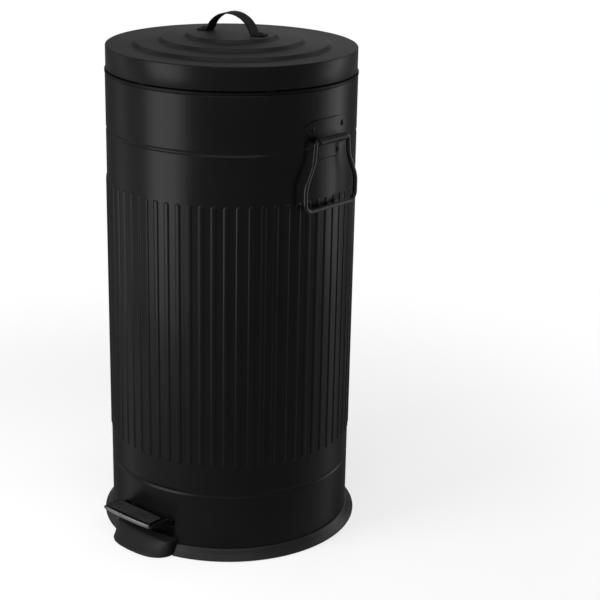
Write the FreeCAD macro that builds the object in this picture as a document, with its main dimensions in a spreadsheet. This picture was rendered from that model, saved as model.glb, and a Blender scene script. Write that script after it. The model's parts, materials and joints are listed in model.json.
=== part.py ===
# Round step bin, 30 litres: ribbed steel shell, stepped lid with a strap handle, pedal, lift rod,
# two swing handles and an inner bucket.  Millimetres, +Z up.  The axis of the shell is the Z axis and the
# bin stands on z = 0.  The pedal is at -Y, the lid hinge at +Y, the swing handles at -X and +X.
import FreeCAD, Part
import math
import os
import Sketcher
from FreeCAD import Placement, Rotation, Vector

doc = FreeCAD.newDocument("StepBin")

# ---------------------------------------------------------------- driving dimensions
sizes = {
    # shell
    "bodyRadius": 150.0, "wall": 1.0, "bodyLow": 3.6, "bodyTop": 569.4,
    "grooveDrop": 67.0, "grooveLow": 83.0, "grooveDepth": 1.3, "grooveHalf": 3.3,
    "ribCount": 66, "ribWidth": 6.2, "ribDepth": 0.9, "ribLift": 38.0, "ribDrop": 59.4,
    "slotSide": 3.7, "slotLow": 20.0, "slotDrop": 3.0,
    # rim collar
    "rimHeight": 2.8, "rimOut": 0.6, "collarDepth": 26.0, "shelfHeight": 3.0, "shelfWidth": 19.0,
    # base
    "ringTop": 13.4, "ringSpread": 10.5, "ringLow": 0.6, "flangeTop": 3.0, "flangeWidth": 16.0,
    "plateThick": 1.2, "fixInset": 10.0, "footTop": 19.0, "footSpread": 29.0, "footCrest": 10.0, "footSide": 2.0,
    "footScrew": 22.0, "footScrewHigh": 8.0, "gapDeep": 10.5, "padRadius": 6.0, "padTurn": 20.0,
    # lid
    "lidInset": 0.8, "lidWall": 1.0, "lidGap": 1.6, "lidHigh": 27.2, "lidEdge": 2.2,
    "tierInset": 30.4, "tierWidth": 30.9, "tierSlope": 4.5, "tierStep": 3.6, "tierRise": 1.0,
    "stopWidth": 9.0,
    # strap handle on the lid
    "strapWidth": 19.0, "strapThick": 1.6, "strapHalf": 30.0, "strapTab": 16.0, "strapHeight": 24.0,
    "strapTurn": 12.0,
    # lid hinge
    "pinGap": 6.5, "pinDrop": 3.4, "pinRadius": 2.0, "runGap": 0.05, "knuckleRadius": 4.5,
    "knuckleHalf": 11.0, "knuckleGap": 0.6, "hingeHalf": 22.0, "hingeRivet": 15.0, "leafThick": 1.5,
    "bracketTall": 38.0, "bracketDrop": 8.0, "armDrop": 5.0, "armTall": 19.0,
    # lift rod and the finger that it lifts
    "rodBack": 18.0, "rodRadius": 2.5, "capRadius": 3.0, "capLength": 7.0, "capRise": 4.0, "lidSwing": 70.0,
    "fingerWidth": 8.0, "fingerThick": 6.0, "liftGap": 0.35, "guideLow": 190.0, "guideApart": 210.0,
    "guideHalf": 13.0, "guideTall": 16.0,
    # lever and pedal
    "pivotBack": 30.0, "pivotHeight": 34.0, "axleRadius": 3.0, "hubRadius": 5.5,
    "cheekIn": 38.8, "cheekThick": 2.5, "lugGap": 0.8, "lugThick": 3.0, "lugFoot": 16.0, "barWidth": 14.0,
    "barHeight": 6.0, "padHeight": 3.0, "treadOut": 34.5, "treadLong": 27.5, "treadRise": 14.5,
    "treadThick": 4.0, "rubberThick": 0.9, "treadRib": 1.0,
    # swing handles
    "bailRadius": 2.6, "barrelRadius": 4.2, "barrelHalf": 24.5, "bailOut": 6.3, "bailDrop": 57.4,
    "bailSide": 4.3, "bailFlare": 15.7, "bailLong": 79.0, "bailBendUp": 29.0, "bailTuck": 9.3,
    "earThick": 1.2, "earUp": 25.0, "earDown": 23.0, "earStep": 4.0, "earHalf": 35.5, "earWaist": 21.0,
    # fixings
    "rivetRadius": 1.6, "rivetHead": 3.6, "rivetDome": 1.7, "holeGap": 0.05,
    # bucket
    "bucketGap": 1.4, "bucketTaper": 7.6, "bucketFloor": 70.0, "bucketWall": 1.2, "bucketLip": 4.8,
}
# sizes that follow from the ones above
ties = {
    "grooveHigh": "bodyTop - grooveDrop",
    "ribLow": "grooveLow + ribLift",
    "ribHigh": "grooveHigh - ribDrop",
    "treadTop": "pivotHeight + treadRise",
    "slotHalf": "cheekIn + cheekThick + slotSide",
    "slotHigh": "treadTop - slotDrop",
    "shelfInner": "bodyRadius - shelfWidth",
    "ringFoot": "bodyRadius + ringSpread",
    "flangeInner": "bodyRadius - flangeWidth",
    "fixRadius": "bodyRadius - fixInset",
    "footReach": "bodyRadius + footSpread",
    "footHalf": "slotHalf + footSide",
    "lidRadius": "bodyRadius - lidInset",
    "skirtLow": "bodyTop + rimHeight + lidGap",
    "lidTop": "skirtLow + lidHigh",
    "tierWide": "lidRadius - tierInset",
    "tierMiddle": "tierWide - tierWidth + 0.1",
    "tierSmall": "tierMiddle - tierWidth - 0.1",
    "pinHeight": "bodyTop - pinDrop",
    "bracketHigh": "pinHeight - bracketDrop",
    "bracketLow": "bracketHigh - bracketTall",
    "armHigh": "lidTop - armDrop",
    "armLow": "armHigh - armTall",
    "capRest": "pinHeight + capRise",
    "treadFront": "bodyRadius + treadOut",
    "treadBack": "treadFront - treadLong",
    "bailHeight": "bodyTop - bailDrop",
    "bailTop": "barrelHalf + bailSide",
    "bailWide": "bailTop + bailFlare",
    "bailFoot": "bailHeight - bailLong",
    "bailBend": "bailFoot + bailBendUp",
    "earTop": "bailHeight + earUp",
    "earLow": "bailHeight - earDown",
    "earNeck": "bailHeight + earStep",
    "bucketRadius": "shelfInner - bucketGap",
    "bucketBottom": "bucketRadius - bucketTaper",
    "bucketFlange": "bucketRadius + bucketLip",
}
sheet = doc.addObject("Spreadsheet::Sheet", "Dims")
for row, (word, value) in enumerate(list(sizes.items()) + list(ties.items()), start=1):
    sheet.set("A%d" % row, word)
    sheet.setAlias("B%d" % row, word)
    sheet.set("B%d" % row, "=" + value if word in ties else repr(value))
doc.recompute()


def val(text):
    """Number that an expression over the sheet's words comes to."""
    answer = sheet.evalExpression(str(text))
    return float(getattr(answer, "Value", answer))


def full(text):
    """The same expression as another object has to write it."""
    out, word = "", ""
    for letter in str(text) + " ":
        if letter.isalnum():
            word += letter
            continue
        out += ("Dims." + word if word in sizes or word in ties else word) + letter
        word = ""
    return out.strip()


def bind(thing, prop, text):
    thing.setExpression(prop, full(text))


# ---------------------------------------------------------------- helpers for the bodies
def newBody(name):
    return doc.addObject("PartDesign::Body", name)


def plane(body, role):
    return next(f for f in body.Origin.OriginFeatures if f.Role == role)


def newSketch(body, name, role, lift=None):
    sketch = body.newObject("Sketcher::SketchObject", name)
    sketch.AttachmentSupport = (plane(body, role), [""])
    sketch.MapMode = "FlatFace"
    if lift is not None:
        sketch.AttachmentOffset = Placement(Vector(0, 0, val(lift)), Rotation())
        bind(sketch, "AttachmentOffset.Base.z", lift)
    return sketch


def hold(sketch, geo, spot, across, up):
    """Ties one point of a sketch to the sheet by its two distances from the origin."""
    for kind, text, axis in (("DistanceX", across, -2), ("DistanceY", up, -1)):
        if abs(val(text)) < 1e-9 and str(text) in ("0", "0.0"):
            sketch.addConstraint(Sketcher.Constraint("PointOnObject", geo, spot, axis))
            continue
        i = sketch.addConstraint(Sketcher.Constraint(kind, -1, 1, geo, spot, val(text)))
        sketch.setExpression("Constraints[%d]" % i, full(text))


def polygon(sketch, points):
    """Closed outline through the points, each given as two expressions."""
    spots = [Vector(val(a), val(b), 0) for a, b in points]
    first = len(sketch.Geometry)
    for i, spot in enumerate(spots):
        sketch.addGeometry(Part.LineSegment(spot, spots[(i + 1) % len(spots)]), False)
    for i in range(len(points)):
        after = first + (i + 1) % len(points)
        sketch.addConstraint(Sketcher.Constraint("Coincident", first + i, 2, after, 1))
    for i, (a, b) in enumerate(points):
        hold(sketch, first + i, 1, a, b)
    return sketch


def circle(sketch, across, up, radius):
    geo = sketch.addGeometry(Part.Circle(Vector(val(across), val(up), 0), Vector(0, 0, 1), val(radius)), False)
    hold(sketch, geo, 3, across, up)
    i = sketch.addConstraint(Sketcher.Constraint("Radius", geo, val(radius)))
    sketch.setExpression("Constraints[%d]" % i, full(radius))
    return sketch


def slotShape(sketch, low, high, radius):
    """Upright slot outline with round ends, centred on the sketch's vertical axis."""
    r, a, b = val(radius), val(low), val(high)
    sketch.addGeometry(Part.LineSegment(Vector(r, a + r, 0), Vector(r, b - r, 0)), False)
    sketch.addGeometry(Part.ArcOfCircle(Part.Circle(Vector(0, b - r, 0), Vector(0, 0, 1), r), 0, math.pi), False)
    sketch.addGeometry(Part.LineSegment(Vector(-r, b - r, 0), Vector(-r, a + r, 0)), False)
    sketch.addGeometry(
        Part.ArcOfCircle(Part.Circle(Vector(0, a + r, 0), Vector(0, 0, 1), r), math.pi, 2 * math.pi), False)
    for g in range(4):
        sketch.addConstraint(Sketcher.Constraint("Coincident", g, 2, (g + 1) % 4, 1))
    for g, text in ((1, "%s - %s" % (high, radius)), (3, "%s + %s" % (low, radius))):
        i = sketch.addConstraint(Sketcher.Constraint("DistanceY", -1, 1, g, 3, val(text)))
        sketch.setExpression("Constraints[%d]" % i, full(text))
    hold(sketch, 0, 1, radius, "%s + %s" % (low, radius))
    hold(sketch, 0, 2, radius, "%s - %s" % (high, radius))
    hold(sketch, 2, 1, "0 - %s" % radius, "%s - %s" % (high, radius))
    hold(sketch, 2, 2, "0 - %s" % radius, "%s + %s" % (low, radius))
    return sketch


def pad(body, sketch, length, taper=None, middle=False, back=False):
    feature = body.newObject("PartDesign::Pad", sketch.Name + "Pad")
    feature.Profile = sketch
    feature.Length = val(length)
    bind(feature, "Length", length)
    feature.Midplane = middle
    feature.Reversed = back
    if taper is not None:
        feature.TaperAngle = taper
    return feature


def pocket(body, sketch, length, back=False, middle=False):
    feature = body.newObject("PartDesign::Pocket", sketch.Name + "Cut")
    feature.Profile = sketch
    feature.Length = val(length)
    bind(feature, "Length", length)
    feature.Reversed = back
    feature.Midplane = middle
    return feature


def revolve(body, sketch):
    """Full turn of a sketch on the XZ plane about the body's own axis."""
    feature = body.newObject("PartDesign::Revolution", sketch.Name + "Turn")
    feature.Profile = sketch
    feature.ReferenceAxis = (sketch, ["V_Axis"])
    feature.Angle = 360
    return feature


def polar(body, feature, count):
    """Copies of a feature all round the body's axis."""
    pattern = body.newObject("PartDesign::PolarPattern", feature.Name + "Round")
    pattern.Originals = [feature]
    pattern.Axis = (next(f for f in body.Origin.OriginFeatures if f.Role == "Z_Axis"), [""])
    pattern.Angle = 360
    pattern.Occurrences = int(val(count))
    if str(count) in sizes:
        bind(pattern, "Occurrences", count)
    body.Tip = pattern
    return pattern


# ---------------------------------------------------------------- helpers for primitives and booleans
turns = {"z": Rotation(), "x": Rotation(Vector(0, 1, 0), 90), "y": Rotation(Vector(1, 0, 0), -90)}


def put(thing, x, y, z, turn=None):
    thing.Placement = Placement(Vector(val(x), val(y), val(z)), turn or Rotation())
    for letter, text in (("x", x), ("y", y), ("z", z)):
        bind(thing, "Placement.Base." + letter, text)
    return thing


def cyl(name, radius, height, x="0", y="0", z="0", axis="z"):
    thing = doc.addObject("Part::Cylinder", name)
    bind(thing, "Radius", radius)
    bind(thing, "Height", height)
    return put(thing, x, y, z, turns[axis])


def box(name, lengths, x, y, z):
    thing = doc.addObject("Part::Box", name)
    for prop, text in zip(("Length", "Width", "Height"), lengths):
        bind(thing, prop, text)
    return put(thing, x, y, z)


def fuse(name, shapes):
    thing = doc.addObject("Part::MultiFuse", name)
    thing.Shapes = shapes
    return thing


def cut(name, base, tool):
    thing = doc.addObject("Part::Cut", name)
    thing.Base, thing.Tool = base, tool
    return thing


def common(name, shapes):
    thing = doc.addObject("Part::MultiCommon", name)
    thing.Shapes = shapes
    return thing


def group(name, shapes):
    thing = doc.addObject("Part::Compound", name)
    thing.Links = shapes
    return thing


def feature(name, shape):
    """Piece whose shape comes straight from the geometry functions."""
    thing = doc.addObject("Part::Feature", name)
    where = shape.Placement
    thing.Shape = shape
    thing.Placement = where
    return thing


def sweepRound(points, bends, radius):
    """Rod of one radius along straight runs joined by arcs; bends holds the radius at each inner point."""
    edges, last = [], points[0]
    for i in range(1, len(points) - 1):
        here, before, after = points[i], points[i - 1], points[i + 1]
        a, b = (before - here).normalize(), (after - here).normalize()
        half = math.acos(max(-1.0, min(1.0, a.dot(b)))) / 2
        reach = bends[i - 1] / math.tan(half)
        start, end = here + a * reach, here + b * reach
        middle = here + (a + b).normalize() * (bends[i - 1] / math.sin(half) - bends[i - 1])
        edges += [Part.LineSegment(last, start).toShape(), Part.Arc(start, middle, end).toShape()]
        last = end
    edges.append(Part.LineSegment(last, points[-1]).toShape())
    path = Part.Wire(edges)
    ring = Part.Wire([Part.Circle(points[0], points[1] - points[0], radius).toShape()])
    return path.makePipeShell([ring], True, False)


nodes = {}


def keep(name, thing):
    thing.Label = name
    nodes[name] = thing
    return thing


# ---------------------------------------------------------------- rivets shared by several pieces
def rivet(radius, length, head, dome, spot, out):
    """Round-headed rivet: shank from the spot inwards, head outwards along the direction out."""
    shank = Part.makeCylinder(radius, length, spot - out * length, out)
    big = (head * head + dome * dome) / (2 * dome)
    ball = Part.makeSphere(big, spot - out * (big - dome))
    cap = ball.common(Part.makeCylinder(head, dome + 1, spot, out))
    tail = Part.makeCylinder(radius * 1.5, 0.8, spot - out * (length + 0.8), out)
    return shank.fuse([cap, tail]).removeSplitter()


# places of the rivets round the shell: angle from +X, height, and how far out the head sits
earSpots = [(math.degrees(math.asin(across / val("bodyRadius"))), height)
            for across, height in ((-val("earHalf - 9.5"), val("earTop - 11")), (val("earHalf - 9.5"), val("earTop - 11")),
                                   (-val("earWaist - 4"), val("earLow + 7")), (val("earWaist - 4"), val("earLow + 7")))]
bracketSpots = [(math.degrees(math.asin(across / val("bodyRadius"))), height)
                for across in (-val("hingeRivet"), val("hingeRivet"))
                for height in (val("bracketLow + 7"), val("bracketLow + 18"))]
armSpots = [(math.degrees(math.asin(across / val("bodyRadius"))), val("armLow + 12"))
            for across in (-val("hingeRivet"), val("hingeRivet"))]


def radial(angle):
    return Vector(math.cos(math.radians(angle)), math.sin(math.radians(angle)), 0)


def roundRivets(spots, middle, reach, length):
    made = []
    for angle, height in spots:
        out = radial(middle + angle)
        made.append(rivet(val("rivetRadius"), length, val("rivetHead"), val("rivetDome"),
                          out * reach + Vector(0, 0, height), out))
    return made


def roundHoles(name, spots, middle):
    made = []
    for angle, height in spots:
        out = radial(middle + angle)
        made.append(Part.makeCylinder(val("rivetRadius + holeGap"), 24, out * (val("bodyRadius") - 14)
                                      + Vector(0, 0, height), out))
    return feature(name, Part.makeCompound(made))


# ---------------------------------------------------------------- shell
def grooved(offset):
    """Wall line from the bottom to the top with its two rolled grooves, offset inwards."""
    r = "bodyRadius - %s" % offset
    line = [(r, "bodyLow")]
    for g in ("grooveLow", "grooveHigh"):
        line += [(r, "%s - grooveHalf" % g), (r + " - grooveDepth", "%s - grooveHalf * 0.3" % g),
                 (r + " - grooveDepth", "%s + grooveHalf * 0.3" % g), (r, "%s + grooveHalf" % g)]
    return line + [(r, "bodyTop")]


shell = newBody("ShellBody")
wallSketch = polygon(newSketch(shell, "ShellWall", "XZ_Plane"), grooved("0") + grooved("wall")[::-1])
revolve(shell, wallSketch)
slotSketch = newSketch(shell, "PedalSlot", "XZ_Plane")
polygon(slotSketch, [("0 - slotHalf", "slotLow"), ("slotHalf", "slotLow"),
                     ("slotHalf", "slotHigh"), ("0 - slotHalf", "slotHigh")])
doc.recompute()
before = shell.Shape.Volume
slotCut = pocket(shell, slotSketch, "bodyRadius + 20", back=True)
doc.recompute()
print("slot takes", round(before - shell.Shape.Volume, 1))
ribSketch = slotShape(newSketch(shell, "Rib", "XZ_Plane", "bodyRadius - wall * 0.6"), "ribLow", "ribHigh", "ribWidth / 2")
rib = pad(shell, ribSketch, "wall * 0.6 + ribDepth", taper=-20)
doc.recompute()
polar(shell, rib, "ribCount")
doc.recompute()
shellHoles = group("ShellHoles", [roundHoles("HolesRight", earSpots, 0), roundHoles("HolesLeft", earSpots, 180),
                                  roundHoles("HolesBack", bracketSpots, 90)])
footHoles = [cyl("FootHole%d" % i, "rivetRadius + holeGap", "40", "%d * footScrew" % side, "0 - bodyRadius - 10",
                "footScrewHigh", "y")
             for i, side in enumerate((-1, 1))]
shellCut = keep("body_shell", cut("BodyShell", shell, group("ShellTools", [shellHoles] + footHoles)))

# ---------------------------------------------------------------- rim collar with the bucket shelf
collar = newBody("CollarBody")
polygon(newSketch(collar, "CollarSection", "XZ_Plane"), [
    ("bodyRadius + rimOut", "bodyTop + 0.05"), ("bodyRadius + rimOut", "bodyTop + rimHeight"),
    ("bodyRadius - wall - 2.4", "bodyTop + rimHeight"),
    ("bodyRadius - wall - 2.4", "bodyTop + rimHeight - collarDepth"), ("shelfInner", "bodyTop + rimHeight - collarDepth"),
    ("shelfInner", "bodyTop + rimHeight - collarDepth - shelfHeight"),
    ("bodyRadius - wall - 0.1", "bodyTop + rimHeight - collarDepth - shelfHeight"),
    ("bodyRadius - wall - 0.1", "bodyTop + 0.05")])
revolve(collar, collar.Group[-1])
rodHole = circle(newSketch(collar, "RodHole", "XY_Plane", "bodyTop"), "0", "bodyRadius + pinGap - rodBack",
                 "rodRadius + runGap")
doc.recompute()
before = collar.Shape.Volume
pocket(collar, rodHole, "collarDepth + 10")
doc.recompute()
print("rod hole takes", round(before - collar.Shape.Volume, 1))
keep("rim_collar", collar)

# ---------------------------------------------------------------- base ring, front foot, floor plate
ring = newBody("RingBody")
polygon(newSketch(ring, "RingSection", "XZ_Plane"), [
    ("flangeInner", "ringLow"), ("ringFoot", "ringLow"), ("ringFoot", "ringLow + 1.2"),
    ("bodyRadius + 5.6", "ringTop * 0.5"), ("bodyRadius + 2.4", "ringTop - 1"), ("bodyRadius + 1.6", "ringTop"),
    ("bodyRadius + 0.05", "ringTop"), ("bodyRadius + 0.05", "bodyLow - 0.1"),
    ("bodyRadius - wall - 0.05", "bodyLow - 0.1"), ("bodyRadius - wall - 0.05", "ringTop - 1"),
    ("bodyRadius - wall - 2", "ringTop - 1"), ("bodyRadius - wall - 2", "flangeTop"), ("flangeInner", "flangeTop")])
revolve(ring, ring.Group[-1])
notch = newSketch(ring, "FrontGap", "XY_Plane", "ringTop + 2")
polygon(notch, [("0 - footHalf", "0 - bodyRadius + gapDeep"), ("footHalf", "0 - bodyRadius + gapDeep"),
                ("footHalf + 3", "0 - ringFoot - 12"), ("0 - footHalf - 3", "0 - ringFoot - 12")])
doc.recompute()
ringFull = ring.Shape.Volume
pocket(ring, notch, "ringTop + 10")
doc.recompute()
print("front gap takes", round(ringFull - ring.Shape.Volume, 1))
screwHole = circle(newSketch(ring, "FloorScrew", "XY_Plane", "flangeTop + 1"), "fixRadius * 0.7071",
                   "fixRadius * 0.7071", "rivetRadius + holeGap")
screwCut = pocket(ring, screwHole, "flangeTop + 4")
doc.recompute()
polar(ring, screwCut, "4")
footHole = circle(newSketch(ring, "PadSeat", "XY_Plane", "ringLow + 1.2"), "fixRadius * cos(padTurn)",
                  "fixRadius * sin(padTurn)", "padRadius - 0.4")
padCut = pocket(ring, footHole, "4")
doc.recompute()
polar(ring, padCut, "4")
doc.recompute()
keep("base_ring", ring)

# the foot is a tongue: a broad round plan on the floor and a straighter one at its crest
footLow = [("footHalf - 0.8", "gapDeep - 0.3 - bodyRadius"), ("footHalf", "0 - footReach + 28"),
           ("footHalf - 1.2", "0 - footReach + 19"), ("footHalf - 6.2", "0 - footReach + 11"),
           ("footHalf - 14.7", "0 - footReach + 5"), ("footHalf - 25.7", "0 - footReach + 1.6"),
           ("footHalf - 37", "0 - footReach + 0.3")]
crest = "0 - bodyRadius - footCrest"
footHigh = [("footHalf - 0.8", "gapDeep - 0.3 - bodyRadius"), ("footHalf - 0.6", crest + " + 9.5"),
            ("footHalf - 1.2", crest + " + 4"), ("footHalf - 4.5", crest + " + 1.6"),
            ("footHalf - 14.7", crest + " + 0.8"), ("footHalf - 25.7", crest + " + 0.3"),
            ("footHalf - 37", crest)]
foot = newBody("FootBody")
for name, line, lift in (("FootPlan", footLow, "ringLow"), ("FootCrest", footHigh, "footTop")):
    plan = newSketch(foot, name, "XY_Plane", lift)
    polygon(plan, line + [("0 - (%s)" % a, b) for a, b in line[::-1]])
doc.recompute()
tongue = foot.newObject("PartDesign::AdditiveLoft", "Tongue")
tongue.Profile = foot.Group[0]
tongue.Sections = [foot.Group[1]]
tongue.Ruled = True
footRoom = circle(newSketch(foot, "FootRoom", "XY_Plane", "footTop + 2"), "0", "0", "bodyRadius + 0.1")
doc.recompute()
before = foot.Shape.Volume
pocket(foot, footRoom, "footTop + 2 - flangeTop + 0.05")
footScrewHole = newSketch(foot, "FootScrewHole", "XZ_Plane", "bodyRadius - 15")
circle(footScrewHole, "footScrew", "footScrewHigh", "rivetRadius + holeGap")
circle(footScrewHole, "0 - footScrew", "footScrewHigh", "rivetRadius + holeGap")
pocket(foot, footScrewHole, "15 + 12", back=True)
doc.recompute()
print("foot loses", round(before - foot.Shape.Volume, 1))
keep("front_foot", foot)

floor = newBody("FloorBody")
floorSketch = circle(newSketch(floor, "FloorDisc", "XY_Plane", "flangeTop + 0.05"), "0", "0", "bodyRadius - wall - 2.3")
pad(floor, floorSketch, "plateThick")
hole = circle(newSketch(floor, "FloorHole", "XY_Plane", "flangeTop + plateThick + 1"), "fixRadius * 0.7071",
              "fixRadius * 0.7071", "rivetRadius + holeGap")
holeCut = pocket(floor, hole, "plateThick + 3")
doc.recompute()
polar(floor, holeCut, "4")
doc.recompute()
keep("floor_plate", floor)

topOfFloor = "flangeTop + 0.05 + plateThick"
screws, pads = [], []
for i in range(4):
    a = math.radians(90 * i + 45)
    spot = Vector(val("fixRadius") * math.cos(a), val("fixRadius") * math.sin(a), val(topOfFloor) + 0.05)
    head = Part.makeCylinder(3.4, 1.6, spot)
    screws.append(head.fuse(Part.makeCylinder(val("rivetRadius"), val(topOfFloor) - 0.9, spot - Vector(0, 0, val(topOfFloor) - 0.9))))
    a = math.radians(90 * i + val("padTurn"))
    seat = Vector(val("fixRadius") * math.cos(a), val("fixRadius") * math.sin(a), 0)
    pads.append(Part.makeCylinder(val("padRadius") - 0.5, val("ringLow") + 1.2 - 0.05, seat))
keep("floor_screws", feature("FloorScrews", Part.makeCompound(screws)))
keep("rubber_feet", feature("RubberFeet", Part.makeCompound(pads)))

footScrews = []
for side in (-1, 1):
    tip = Vector(side * val("footScrew"), -val("bodyRadius") - 6, val("footScrewHigh"))
    footScrews.append(Part.makeCylinder(val("rivetRadius"), 14, tip, Vector(0, 1, 0)).fuse(
        Part.makeCylinder(3.2, 1.6, tip + Vector(0, 14, 0), Vector(0, 1, 0))))
keep("foot_screws", feature("FootScrews", Part.makeCompound(footScrews)))

# ---------------------------------------------------------------- lid
lid = newBody("LidBody")
step = "tierStep"


def lidLine(drop):
    """Outer line of the lid from the skirt to the axis, offset by drop for the inner face."""
    line = [("lidRadius - %s" % drop, "skirtLow"), ("lidRadius - %s" % drop, "lidTop - lidEdge"),
            ("lidRadius - lidEdge * 0.3 - %s" % drop, "lidTop - lidEdge * 0.3 - %s" % drop),
            ("lidRadius - lidEdge - %s * 0.6" % drop, "lidTop - %s" % drop)]
    for i, r in enumerate(("tierWide", "tierMiddle", "tierSmall")):
        line += [("%s - %s * 0.4" % (r, drop), "lidTop + tierStep * %d + tierRise * %d - %s" % (i, i, drop)),
                 ("%s - tierSlope - %s * 0.4" % (r, drop), "lidTop + tierStep * %d + tierRise * %d - %s" % (i + 1, i, drop))]
    return line + [("0", "lidTop + tierStep * 3 + tierRise * 3 - %s" % drop)]


polygon(newSketch(lid, "LidSection", "XZ_Plane"), lidLine("0") + lidLine("lidWall")[::-1])
revolve(lid, lid.Group[-1])
doc.recompute()
centreTop = "(lidTop + tierStep * 3 + tierRise * 3)"
footTopZ = "(lidTop + tierStep * 3 + tierRise * 2)"
strapTurn = Rotation(Vector(0, 0, 1), val("strapTurn"))
strapSpots = [strapTurn.multVec(Vector(side * val("strapHalf + strapTab / 2"), 0, 0)) for side in (-1, 1)]


def lidSurface(r):
    """Height of the centre tier at a distance from the axis: it rises a little to the middle."""
    edge = val("tierSmall - tierSlope")
    return val(footTopZ) + val("tierRise") * (1 - min(r, edge) / edge)


lidHoles = feature("LidHoles", Part.makeCompound(
    [Part.makeCylinder(val("rivetRadius + holeGap"), 20, p + Vector(0, 0, val("lidTop"))) for p in strapSpots]))
lidTools = group("LidTools", [lidHoles, roundHoles("HolesLidBack", armSpots, 90)])
keep("lid_panel", cut("LidPanel", lid, lidTools))

# strap handle: a flat strap bent into an arch over the centre of the lid, with a tab at each foot
t, half, tab = val("strapThick"), val("strapHalf"), val("strapTab")
base = lidSurface(half) + 0.05
high = val("strapHeight")
# inner arc through both feet and the crown, outer arc a strap's thickness outside it
rise = high - t
arch = (half * half + rise * rise) / (2 * rise)
hub = base + rise - arch
spread = math.sqrt((arch + t) ** 2 - (base + t - hub) ** 2)
ends = [Vector(-half - tab, 0, base), Vector(-half, 0, base), Vector(half, 0, base), Vector(half + tab, 0, base),
        Vector(half + tab, 0, base + t), Vector(spread, 0, base + t), Vector(-spread, 0, base + t),
        Vector(-half - tab, 0, base + t)]
strapEdges = [Part.makeLine(ends[0], ends[1]), Part.Arc(ends[1], Vector(0, 0, base + rise), ends[2]).toShape(),
              Part.makeLine(ends[2], ends[3]), Part.makeLine(ends[3], ends[4]), Part.makeLine(ends[4], ends[5]),
              Part.Arc(ends[5], Vector(0, 0, base + high), ends[6]).toShape(), Part.makeLine(ends[6], ends[7]),
              Part.makeLine(ends[7], ends[0])]
strapSolid = Part.Face(Part.Wire(strapEdges)).extrude(Vector(0, val("strapWidth"), 0))
strapSolid.translate(Vector(0, -val("strapWidth") / 2, 0))
strapSolid.rotate(Vector(0, 0, 0), Vector(0, 0, 1), val("strapTurn"))
strapSolid = strapSolid.cut(Part.makeCompound(
    [Part.makeCylinder(val("rivetRadius + holeGap"), 20, p + Vector(0, 0, base - 10)) for p in strapSpots]))
keep("strap_handle", feature("StrapHandle", strapSolid))
keep("strap_rivets", feature("StrapRivets", Part.makeCompound(
    [rivet(val("rivetRadius"), t + 1.5, 4.4, 2.4, p + Vector(0, 0, base + t + 0.05), Vector(0, 0, 1))
     for p in strapSpots])))

# ---------------------------------------------------------------- lid hinge
pinY = "(bodyRadius + pinGap)"
outerKnuckle = "hingeHalf - knuckleHalf - knuckleGap"


def leaf(name, inside, low, high, half):
    """Curved plate against a round wall at +Y, between two heights."""
    outer = cyl(name + "Out", "%s + leafThick" % inside, "%s - %s" % (high, low), z=low)
    hollow = cyl(name + "In", inside, "%s - %s + 2" % (high, low), z="%s - 1" % low)
    wide = box(name + "Wide", ("2 * %s" % half, "60", "%s - %s + 4" % (high, low)),
               "0 - %s" % half, "bodyRadius - 20", "%s - 2" % low)
    return common(name + "Leaf", [cut(name + "Tube", outer, hollow), wide])


def web(name, fromY, fromZ, toY, toZ, thick, x0, width):
    """Flat strip between two lines along X, as a prism through four corners in the YZ plane."""
    a = Vector(0, val(fromY), val(fromZ))
    b = Vector(0, val(toY), val(toZ))
    along = (b - a).normalize()
    side = Vector(0, -along.z, along.y) * (val(thick) / 2)
    corners = [a + side, b + side, b - side, a - side]
    face = Part.Face(Part.makePolygon(corners + [corners[0]]))
    solid = face.extrude(Vector(val(width), 0, 0))
    solid.translate(Vector(val(x0), 0, 0))
    return feature(name, solid)


bracketParts = [leaf("Bracket", "bodyRadius + 0.05", "bracketLow", "bracketHigh", "hingeHalf")]
for i, x0 in enumerate(("0 - hingeHalf", "knuckleHalf + knuckleGap")):
    bracketParts.append(cyl("BracketKnuckle%d" % i, "knuckleRadius", outerKnuckle, x0, pinY, "pinHeight", "x"))
    bracketParts.append(web("BracketWeb%d" % i, "bodyRadius + 0.2", "bracketHigh - 1.5", pinY + " - 1.4",
                            "pinHeight - 1.5", "leafThick", x0, outerKnuckle))
bracketBore = cyl("BracketBore", "pinRadius + 0.02", "2 * hingeHalf + 4", "0 - hingeHalf - 2", pinY, "pinHeight", "x")
bracketWall = cyl("BracketWall", "bodyRadius + 0.05", "80", z="bracketLow - 10")
keep("hinge_bracket", cut("HingeBracket", fuse("BracketFuse", bracketParts),
                          group("BracketTools", [bracketBore, bracketWall, roundHoles("HolesBracket", bracketSpots, 90)])))
keep("hinge_pin", cyl("HingePin", "pinRadius", "2 * hingeHalf + 2", "0 - hingeHalf - 1", pinY, "pinHeight", "x"))

armParts = [leaf("Arm", "lidRadius + 0.05", "armLow", "armHigh", "hingeHalf"),
            cyl("ArmKnuckle", "knuckleRadius", "2 * knuckleHalf", "0 - knuckleHalf", pinY, "pinHeight", "x"),
            web("ArmWeb", "lidRadius + 0.9", "armLow + 0.9", pinY + " - 0.6", "pinHeight + 2", "leafThick",
                "0 - knuckleHalf", "2 * knuckleHalf")]
armBore = cyl("ArmBore", "pinRadius + runGap", "2 * hingeHalf", "0 - hingeHalf", pinY, "pinHeight", "x")
armWall = cyl("ArmWall", "lidRadius + 0.05", "40", z="armLow - 1")
keep("lid_hinge_arm", cut("LidHingeArm", fuse("ArmFuse", armParts),
                          group("ArmTools", [armBore, armWall, roundHoles("HolesArm", armSpots, 90)])))

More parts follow.
